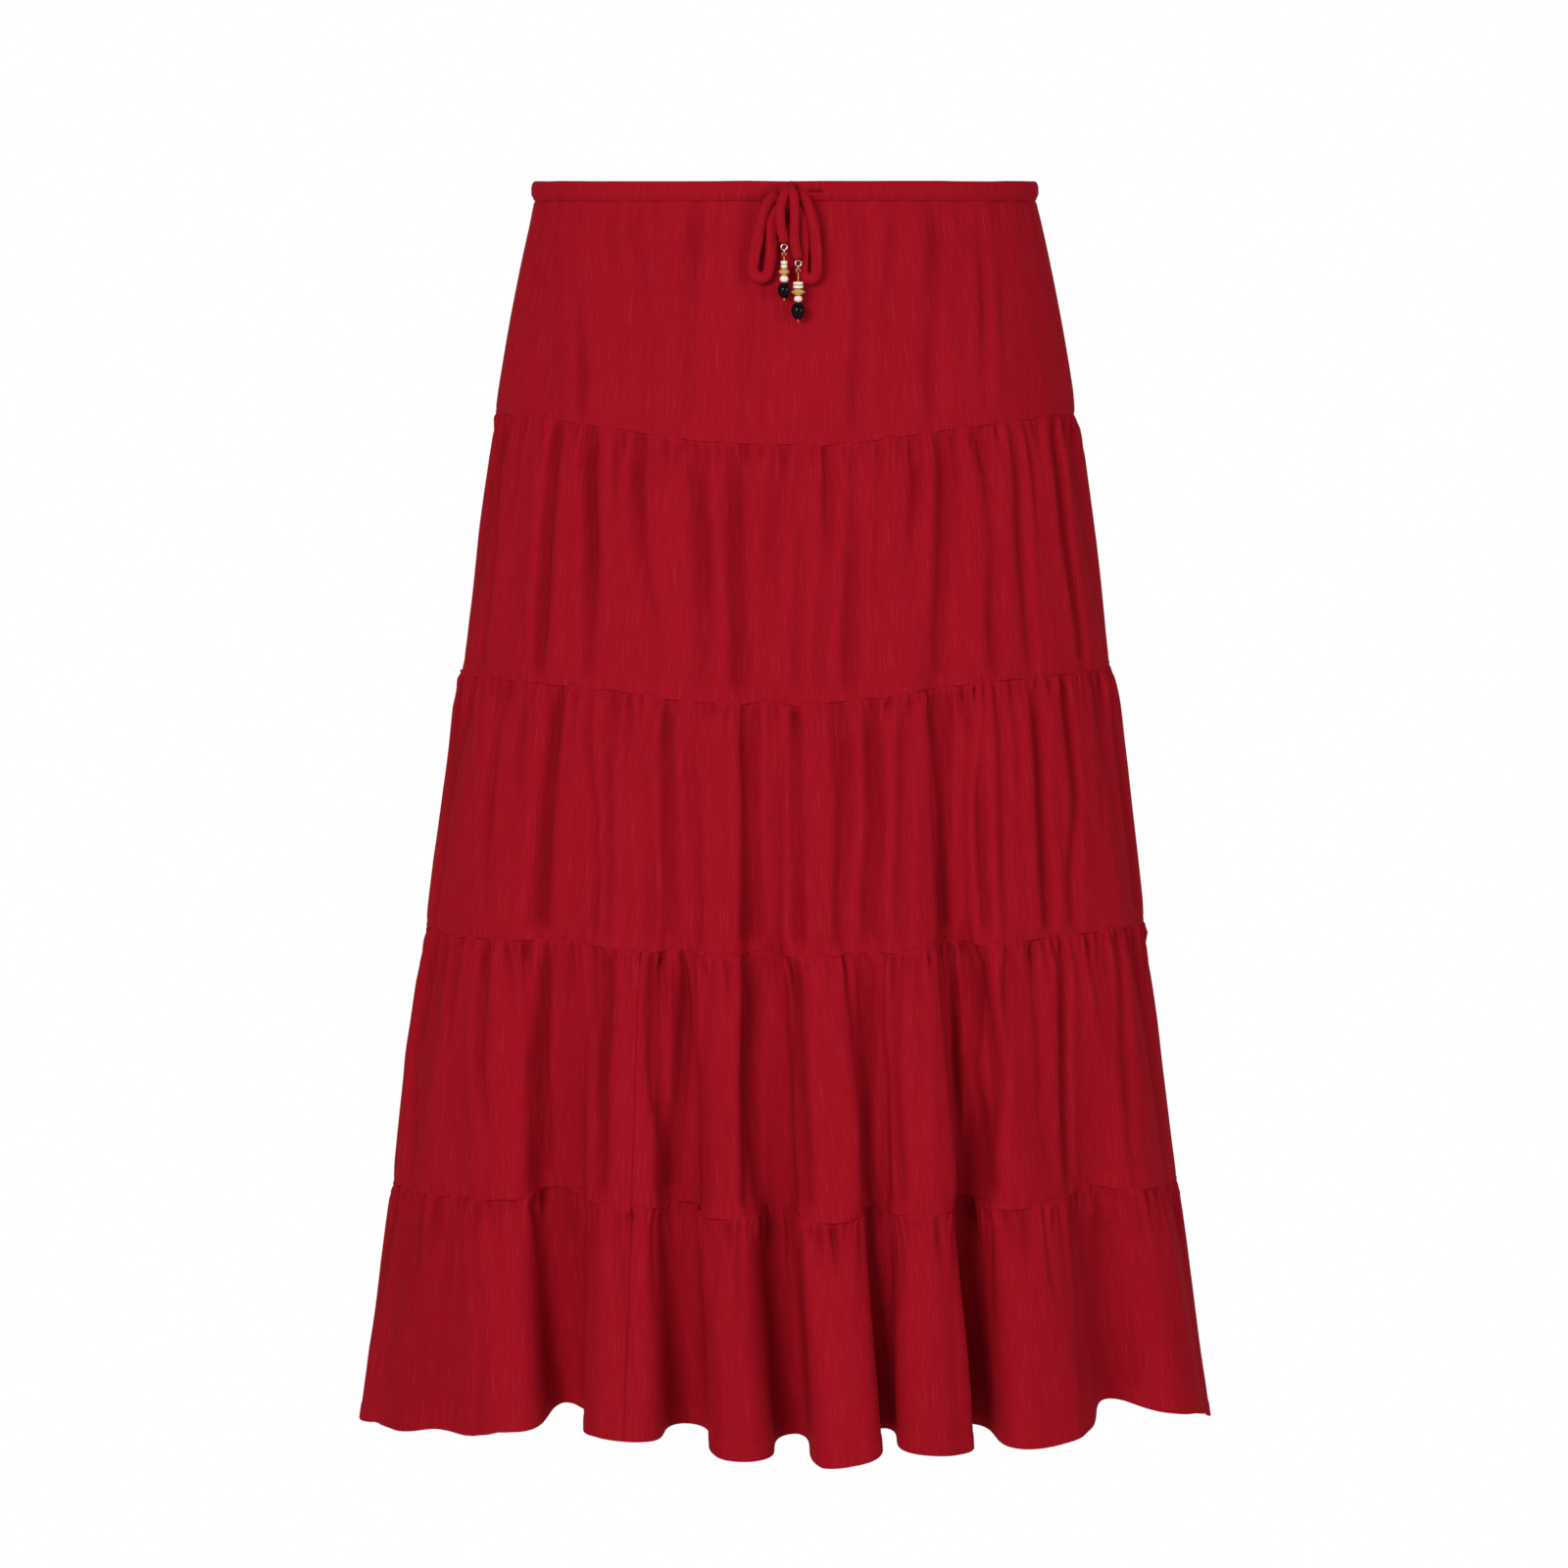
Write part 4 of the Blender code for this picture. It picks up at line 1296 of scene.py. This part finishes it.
@dataclass(frozen=True)
class Tie:
    """A stretch of the sewn tie: a soft tube of the skirt's cloth along a route.

    Attributes:
        node: the solid that it stands for.
        route: the points that it goes through, in millimetres.
        seed: what makes it uneven in the same way each time.
        wide: its width, in millimetres.
        flat: its thickness as a share of its width.
        lead: points that come before the route, inside the knot.
        uneven: by what share of its width it swells and narrows.
        rounding: how far from its ends it narrows, in millimetres.
    """

    node: str
    route: tuple[Point, ...]
    far_end: str
    seed: int
    wide: float = 6.3
    flat: float = 0.8
    lead: tuple[Point, ...] = ()
    uneven: float = 0.035
    rounding: float = 1.6

    def sweep(self, path: np.ndarray, columns: int = 28) -> Mesh:
        """Makes the tube's mesh, closed at both ends.

        Args:
            path: its middle line, in millimetres.
            columns: the number of its faces around.

        Returns:
            The new mesh.
        """
        mesh, flat = bent_grid(columns, len(path) - 1)
        frames = self._frames(path)
        row = np.rint(flat[:, 1] * (len(path) - 1)).astype(int)
        turn = FULL_TURN * flat[:, 0]
        whole = run_lengths(path)[-1]
        along = np.linspace(0.0, whole, len(path))[row]
        thick = self.wide / 2 * (1 + self.uneven * RingNoise(self.seed, 17)(along / whole))
        thick = thick * (1 - 0.05 * bell(flat[:, 0], 0.75, 0.03))  # the seam behind
        ends = np.minimum(along, whole - along)
        thick = thick * np.sqrt(1 - 0.75 * np.clip(1 - ends / self.rounding, 0.0, 1.0) ** 2)
        ring = frames[row, 0] * (np.cos(turn) * thick)[:, None]
        ring = ring + frames[row, 1] * (np.sin(turn) * thick * self.flat)[:, None]
        around = flat[:, 0] * math.pi * self.wide
        bend(mesh, path[row] + ring, np.stack([around, along], -1))
        mark(mesh, "stitch", np.full(len(row), UNSEWN))
        close_tube(mesh, True)
        return mesh

    def _frames(self, path: np.ndarray) -> np.ndarray:
        """Turns the tie along its path, with its flat side to the front where it hangs.

        Args:
            path: its middle line, in millimetres.

        Returns:
            For each point, the tie's wide direction and its flat one.
        """
        tangent = np.gradient(path, axis=0)
        tangent = tangent / np.linalg.norm(tangent, axis=1, keepdims=True)
        front = np.array([0.0, -1.0, 0.0])
        found = []
        flat = front
        for along in tangent:
            flat = flat - along * float(flat @ along)
            flat = flat / np.linalg.norm(flat)
            found.append((np.cross(along, flat), flat))
            if abs(along[1]) < 0.7:
                flat = 0.5 * flat + 0.5 * front
        return np.array(found)

    def path(self) -> np.ndarray:
        """The centreline, in millimetres."""
        return smooth_route(self.lead + self.route, 1.1)

    def build(self, made: Material) -> Object:
        """Makes the tie on its route.

        Args:
            made: the cloth's material.

        Returns:
            The finished object.
        """
        name = self.node + "_sewn"
        piece = place_object(name, self.sweep(self.path()), made, "skirt")
        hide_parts(self.node)
        LOG.info("%s: %.0f mm long", piece.name, run_lengths(self.path())[-1])
        return piece

    def declare(self, piece: Object, with_pieces: list[Object]) -> None:
        """Does nothing.

        Args:
            piece: the finished tie; not used.
            with_pieces: what hangs from its far end; not used.
        """


LOOP_WIDE, LOOP_FLAT = 7.6, 0.64
LOOP_LEFT = Tie(
    "bow_loop_left",
    (
        (-4.6, -111.0, -2.0), (-8.8, -111.6, -5.2), (-12.6, -112.0, -11.5),
        (-15.6, -112.4, -21.0), (-17.8, -113.0, -32.0), (-19.8, -113.7, -42.0),
        (-20.8, -114.3, -50.1), (-19.2, -114.7, -53.9), (-15.4, -114.9, -55.5),
        (-11.6, -114.8, -53.9), (-10.0, -114.5, -50.1), (-9.0, -113.9, -42.0),
        (-8.6, -113.4, -32.0), (-8.0, -113.0, -21.0), (-5.2, -112.3, -13.6),
        (-2.4, -111.9, -9.4),
    ),
    "object",
    11,
    LOOP_WIDE,
    LOOP_FLAT,
)
LOOP_RIGHT = Tie(
    "bow_loop_right",
    (
        (8.4, -111.0, -2.0), (12.2, -111.6, -5.4), (15.6, -112.0, -12.5),
        (18.2, -112.4, -22.0), (19.6, -113.0, -33.5), (20.2, -113.7, -43.0),
        (20.0, -114.3, -51.7), (18.7, -114.8, -54.8), (15.6, -115.0, -56.1),
        (12.5, -114.9, -54.8), (11.2, -114.5, -51.7), (11.4, -113.9, -43.0),
        (11.8, -113.4, -33.5), (10.8, -113.0, -22.0), (8.2, -112.4, -14.2),
        (5.8, -111.9, -9.8),
    ),
    "object",
    12,
    LOOP_WIDE,
    LOOP_FLAT,
)
END_LEFT = Tie(
    "tie_end_left",
    (
        (-1.2, -117.8, -4.0), (-2.8, -118.8, -9.6), (-3.1, -119.4, -17.0),
        (-2.4, -119.8, -24.0), (-1.2, -119.8, -29.0), (-0.6, -119.8, -33.2),
    ),
    "fitting",
    13,
    lead=((1.6, -112.4, 1.6), (0.4, -115.4, -0.6)),
)
END_RIGHT = Tie(
    "tie_end_right",
    (
        (5.6, -117.8, -3.6), (6.1, -118.8, -9.6), (6.2, -119.6, -19.0),
        (5.9, -120.0, -30.0), (7.0, -120.0, -37.6), (8.4, -120.0, -43.6),
    ),
    "fitting",
    14,
    lead=((3.0, -112.4, 1.8), (4.4, -115.4, -0.4)),
)


@dataclass(frozen=True)
class Knot:
    """The knot of the bow, in millimetres: the tie wrapped over the strands that leave it, and
    the strand that it wraps."""

    node: str = "bow_knot"
    wide: tuple[float, float] = (6.4, 5.6)
    wrap: tuple[Point, ...] = (
        (3.4, -106.9, 3.2), (3.2, -109.8, 4.0), (2.8, -112.2, 2.2),
        (2.4, -112.9, -1.0), (2.2, -111.4, -4.4),
    )
    inner: tuple[Point, ...] = (
        (-1.6, -108.4, 1.6), (-0.4, -110.2, 0.8), (1.4, -110.6, -0.4),
        (3.8, -110.2, -1.6), (5.6, -108.6, -2.4),
    )

    def build(self, made: Material) -> Object:
        """Makes the knot as one piece.

        Args:
            made: the cloth's material.

        Returns:
            The finished object.
        """
        sculpted = bmesh.new()
        for number, (strand, wide) in enumerate(zip((self.wrap, self.inner), self.wide)):
            mesh = Tie(self.node, strand, "object", 20 + number, wide).sweep(
                smooth_route(strand, 0.9)
            )
            sculpted.from_mesh(mesh)
            bpy.data.meshes.remove(mesh)
        mesh = finished(sculpted, "bow_knot_sewn")
        piece = place_object(mesh.name, mesh, made, "skirt")
        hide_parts(self.node)
        LOG.info("%s: the tie wrapped over itself", piece.name)
        return piece


# ------------------------ the strings of beads
@dataclass(frozen=True)
class Bead:
    """A turned bead.

    Attributes:
        kind: the ending of its node's name.
        section: its half section from the top down, as shares of its radius and height.
        radius: its radius in millimetres.
        height: its height in millimetres.
        wear: its finish.
        slot: the record's name for that finish.
        bore: the radius of its bore in millimetres.
        swell: how much wider it is turned, because the rounding draws it in again.
    """

    kind: str
    section: tuple[tuple[float, float], ...]
    radius: float
    height: float
    wear: Wear
    slot: str
    bore: float = 0.72
    swell: float = 1.04

    def build(
        self, charm: str, middle: tuple[float, float], top: float, made: Material
    ) -> Object:
        """Turns the bead from its half section around its upright bore.

        Args:
            charm: the body of its string, with which its name starts.
            middle: x and y of its bore, in millimetres.
            top: z of its top, in millimetres.
            made: its material.

        Returns:
            The finished object.
        """
        x, y = middle
        sculpted = bmesh.new()
        wide = self.swell * self.radius
        corners = [(self.bore, 0.12), *((wide * r, self.height * z) for r, z in self.section)]
        corners.append((self.bore, self.height - 0.12))
        verts = [sculpted.verts.new(((x + r) * MM, y * MM, (top - z) * MM)) for r, z in corners]
        edges = [sculpted.edges.new(pair) for pair in zip(verts, verts[1:] + verts[:1])]
        bmesh.ops.spin(
            sculpted,
            geom=verts + edges,
            cent=(x * MM, y * MM, 0.0),
            axis=(0.0, 0.0, 1.0),
            angle=FULL_TURN,
            steps=40,
            use_merge=True,
        )
        bmesh.ops.recalc_face_normals(sculpted, faces=sculpted.faces)
        name = f"{charm}_{self.kind}_bead"
        piece = place_object(name, finished(sculpted, name), made, charm)
        soft = piece.modifiers.new("rounded", "SUBSURF")
        soft.levels = soft.render_levels = 1
        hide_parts(f"{charm}_{self.kind}")
        return piece


DISC = ((0.80, 0.0), (0.94, 0.04), (1.0, 0.16), (1.0, 0.5), (1.0, 0.84), (0.94, 0.96), (0.80, 1.0))
SAUCER = (
    (0.34, 0.0), (0.46, 0.06), (0.72, 0.26), (0.93, 0.43), (1.0, 0.5),
    (0.93, 0.57), (0.72, 0.74), (0.46, 0.94), (0.34, 1.0),
)
ROUND = (
    (0.42, 0.0), (0.66, 0.06), (0.90, 0.22), (1.0, 0.42), (1.0, 0.58),
    (0.90, 0.78), (0.66, 0.94), (0.42, 1.0),
)
OVAL = (
    (0.26, 0.0), (0.44, 0.03), (0.72, 0.12), (0.92, 0.27), (1.0, 0.44),
    (0.98, 0.58), (0.86, 0.74), (0.64, 0.88), (0.40, 0.97), (0.24, 1.0),
)


@dataclass(frozen=True)
class Charm:
    """One string of beads under a free end of the tie, in millimetres.

    Attributes:
        side: "left" or "right".
        tie: the end of the tie that it hangs from.
        gap_to_beads: how much of the pin shows between its eye and the first bead.
        beads: its beads, from the top down.
        gap: how far the pieces stay apart.
    """

    side: str
    tie: Tie
    gap_to_beads: float
    beads: tuple[Bead, ...]
    ring_radius: float = 1.9
    ring_wire: float = 0.4
    link_radius: float = 1.7
    link_wire: float = 0.35
    pin_wire: float = 0.35
    pin_end: float = 1.0
    eye_radius: float = 1.25
    gap: float = 0.3

    def wire(
        self,
        kind: str,
        points: list[Point],
        radius: float,
        look: tuple[str, Material],
        body: str,
    ) -> Object:
        """A bent wire, as a mesh.

        Args:
            kind: the ending of its node's name. The pin has two ends, the others are closed.
            points: its middle line, in millimetres.
            radius: its radius, in millimetres.
            look: the record's name for its finish, and its material.
            body: the body that it rides on.

        Returns:
            The finished object.
        """
        node = f"charm_{self.side}_{kind}"
        name = node + "_bent"
        slot, made = look
        curve = bpy.data.curves.new(name, "CURVE")
        curve.dimensions = "3D"
        curve.bevel_depth = radius * MM
        curve.bevel_resolution = 3
        curve.use_fill_caps = kind == "pin"
        spline = curve.splines.new("POLY")
        spline.points.add(len(points) - 1)
        for spot, point in zip(spline.points, points):
            spot.co = (*(value * MM for value in point), 1.0)
        spline.use_cyclic_u = kind != "pin"
        maker = bpy.data.objects.new(name, curve)
        bpy.context.scene.collection.objects.link(maker)
        bpy.context.view_layer.update()
        bent = maker.evaluated_get(bpy.context.evaluated_depsgraph_get())
        mesh = bpy.data.meshes.new_from_object(bent)
        bpy.data.objects.remove(maker, do_unlink=True)
        bpy.data.curves.remove(curve)
        mesh.name = name
        mesh.materials.clear()
        piece = place_object(name, mesh, made, body)
        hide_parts(node)
        return piece

    def build(self, finishes: dict[Wear, Material]) -> list[Object]:
        """Makes the ring, the link, the beads and the eye pin.

        Args:
            finishes: the material of each finish.

        Returns:
            The finished objects.
        """
        x, y, tie_bottom = self.tie.route[-1]
        body = f"charm_{self.side}"
        silver = ("silver_wire", finishes[Wear.SILVER])
        ring_z = tie_bottom - self.gap - self.ring_wire - self.ring_radius
        hook = self.ring_wire + self.link_wire + self.gap
        link_z = ring_z - self.ring_radius + hook - self.link_radius
        hook = self.link_wire + self.pin_wire + self.gap
        eye_z = link_z - self.link_radius + hook - self.eye_radius

        around = [FULL_TURN * step / 40 for step in range(40)]
        big, small = self.ring_radius, self.link_radius
        ring = [(x + big * math.cos(t), y, ring_z + big * math.sin(t)) for t in around]
        link = [(x, y + small * math.cos(t), link_z + small * math.sin(t)) for t in around]
        made = [
            self.wire("ring", ring, self.ring_wire, silver, "skirt"),
            self.wire("link", link, self.link_wire, silver, body),
        ]
        top = eye_z - self.eye_radius - self.pin_wire - self.gap_to_beads
        for bead in self.beads:
            made.append(bead.build(body, (x, y), top, finishes[bead.wear]))
            top -= bead.height + self.gap
        gold = ("gold_wire", finishes[Wear.GOLD])
        pin = self._pin(x, y, eye_z, top - self.pin_end)
        made.append(self.wire("pin", pin, self.pin_wire, gold, body))
        LOG.info("%s: %d pieces", body, len(made))
        return made

    def _pin(self, x: float, y: float, eye_z: float, bottom: float) -> list[Point]:
        """The line of the eye pin: an eye that its own wire closes, then straight down.

        Args:
            x: where the pin hangs, in millimetres, as are the others.
            y: where it hangs.
            eye_z: the height of the middle of its eye.
            bottom: the height of its end.

        Returns:
            Its points.
        """
        radius = self.eye_radius
        start, end = math.radians(-35.0), math.radians(270.0)
        turns = [start + (end - start) * step / 36 for step in range(37)]
        eye = [(x + radius * math.cos(t), y, eye_z + radius * math.sin(t)) for t in turns]
        return [*eye, (x, y, eye_z - radius - 0.8), (x, y, bottom)]


CHARM_LEFT = Charm(
    "left",
    END_LEFT,
    2.6,
    (
        Bead("disc_1", DISC, 2.0, 2.2, Wear.SHELL, "shell_bead"),
        Bead("disc_2", DISC, 2.0, 2.2, Wear.SHELL, "shell_bead"),
        Bead("saucer", SAUCER, 3.6, 4.1, Wear.WOOD, "tan_bead"),
        Bead("spacer", ROUND, 2.7, 4.4, Wear.SHELL, "shell_bead"),
        Bead("drop", OVAL, 4.0, 10.0, Wear.GLASS, "black_bead"),
    ),
)
CHARM_RIGHT = Charm(
    "right",
    END_RIGHT,
    5.6,
    (
        Bead("disc_1", DISC, 3.1, 2.0, Wear.SHELL, "shell_bead"),
        Bead("disc_2", DISC, 3.1, 2.0, Wear.SHELL, "shell_bead"),
        Bead("saucer", SAUCER, 4.5, 4.0, Wear.WOOD, "tan_bead"),
        Bead("spacer", ROUND, 2.6, 4.1, Wear.SHELL, "shell_bead"),
        Bead("drop", OVAL, 4.3, 11.0, Wear.GLASS, "black_bead"),
    ),
)


# ------------------------ the studio
WHITE = (1.0, 1.0, 1.0, 1.0)
PALE = (0.93, 0.93, 0.93, 1.0)


@dataclass(frozen=True)
class Lamp:
    """One soft square lamp: its place, what it looks at and its size in metres, its watts."""

    name: str
    place: Point
    target: Point
    power: float
    size: float = 1.6


LAMPS = (
    Lamp("key", (-2.0, -4.2, 1.1), (0.0, 0.0, -0.45), 122.0),
    Lamp("fill", (3.2, -2.8, 0.3), (0.0, 0.0, -0.45), 40.0),
    Lamp("back", (-0.6, 3.2, 1.6), (0.0, 0.0, -0.4), 20.0),
)


@dataclass(frozen=True)
class Studio:
    """The camera of the photograph and a plain white studio, in metres.

    Attributes:
        distance: from the camera to the middle of the skirt.
        look_down: how far below the waist it looks there.
        aside: how far left of the middle it stands.
        lens: its focal length, in millimetres.
        floor_height: the height of the floor.
        floor_radius: the floor's radius.
        floor_ends: how far from the middle it starts to shine, and where it is all white.
        room_light: how strongly the room lights the skirt, against how bright it looks.
        floor_light: the same for the floor.
    """

    distance: float = 4.5
    look_down: float = 0.3917
    aside: float = 0.00065
    lens: float = 156.4
    floor_height: float = -1.03
    floor_radius: float = 14.0
    floor_ends: tuple[float, float] = (0.38, 0.62)
    room_light: float = 0.36
    floor_light: float = 0.5

    def build_camera(self) -> None:
        """Stands the camera level with the waist, tilted down a little."""
        lens = bpy.data.cameras.new("camera")
        lens.lens = self.lens
        lens.sensor_width = 36.0
        lens.clip_end = 60.0
        camera = bpy.data.objects.new("camera", lens)
        camera.location = (-self.aside, -self.distance, 0.0)
        tilt = math.atan2(self.look_down, self.distance)
        camera.rotation_euler = (math.pi / 2 - tilt, 0.0, 0.0)
        bpy.context.scene.collection.objects.link(camera)
        bpy.context.scene.camera = camera

    def build_light(self) -> None:
        """Soft light from the front left, a weak fill from the right, and a white room."""
        for row in LAMPS:
            light = bpy.data.lights.new(row.name, "AREA")
            light.shape = "SQUARE"
            light.size = row.size
            light.energy = row.power
            lamp = bpy.data.objects.new(row.name, light)
            lamp.location = row.place
            looks = Vector(row.target) - Vector(row.place)
            lamp.rotation_euler = looks.to_track_quat("-Z", "Y").to_euler()
            bpy.context.scene.collection.objects.link(lamp)
        world = bpy.data.worlds.new("room")
        bpy.context.scene.world = world
        world.use_nodes = True
        tree = world.node_tree
        tree.nodes.clear()
        glow = self._glow(tree, "ShaderNodeBackground", self.room_light)
        add_node(tree, "ShaderNodeOutputWorld", inputs={"Surface": glow})
        settings = bpy.context.scene.view_settings
        settings.view_transform = "Standard"
        settings.look = "None"

    def _glow(self, tree: NodeTree, kind: str, light: float) -> NodeSocket:
        """Adds a white glow that looks brighter than the light that it gives.

        Args:
            tree: the node tree that gets it.
            kind: the type of its node.
            light: how strongly it lights other things, where it looks 1.

        Returns:
            The output with the glow.
        """
        seen = add_node(tree, "ShaderNodeLightPath").outputs["Is Camera Ray"]
        strength = ramp(tree, seen, to_min=light, to_max=1.0)
        return add_node(tree, kind, inputs={"Color": WHITE, "Strength": strength}).outputs[0]

    def build_floor(self) -> None:
        """Lays a round pale floor that turns as white as the room far from the skirt."""
        sculpted = bmesh.new()
        bmesh.ops.create_circle(sculpted, cap_ends=True, segments=96, radius=self.floor_radius)
        bmesh.ops.translate(sculpted, vec=(0.0, 0.0, self.floor_height), verts=sculpted.verts)
        mesh = finished(sculpted, "floor")
        made, tree, shader = blank_material("painted_board_matt_white")
        set_inputs(shader, {"Base Color": PALE, "Roughness": 0.9})
        place = add_node(tree, "ShaderNodeTexCoord").outputs["Object"]
        length = add_node(tree, "ShaderNodeVectorMath", {"operation": "LENGTH"}, {0: place})
        near, away = self.floor_ends
        far = ramp(tree, length.outputs["Value"], from_min=near, from_max=away)
        glow = self._glow(tree, "ShaderNodeEmission", self.floor_light)
        mixed = add_node(
            tree, "ShaderNodeMixShader", inputs={0: far, 1: shader.outputs[0], 2: glow}
        )
        output = next(node for node in tree.nodes if node.type == "OUTPUT_MATERIAL")
        tree.links.new(mixed.outputs[0], output.inputs["Surface"])
        mesh.materials.append(made)
        floor = bpy.data.objects.new("floor", mesh)
        bpy.context.scene.collection.objects.link(floor)


def main() -> None:
    """Builds the bow, the beads, the casing and the five tiers in the studio, in that order."""
    logging.basicConfig(level=logging.INFO, format="%(message)s")
    studio = Studio()
    studio.build_camera()
    cloth = SlubCloth().build()
    finishes = {wear: wear.value.build() for wear in Wear}

    ties = {tie: tie.build(cloth) for tie in (LOOP_LEFT, LOOP_RIGHT, END_LEFT, END_RIGHT)}
    Knot().build(cloth)
    beads = {charm.tie: charm.build(finishes) for charm in (CHARM_LEFT, CHARM_RIGHT)}
    for tie, piece in ties.items():
        tie.declare(piece, beads.get(tie, []))

    form = ClothForm()
    reliefs: list[Relief] = []
    for tier in reversed(range(len(TIERS))):
        reliefs.insert(0, Relief(form, tier, reliefs[0] if reliefs else None))
    Casing().build(cloth)
    for panel in PANELS:
        piece = panel.build(form, reliefs[panel.tier], cloth)
    studio.build_light()
    studio.build_floor()


if __name__ == "__main__":
    main()
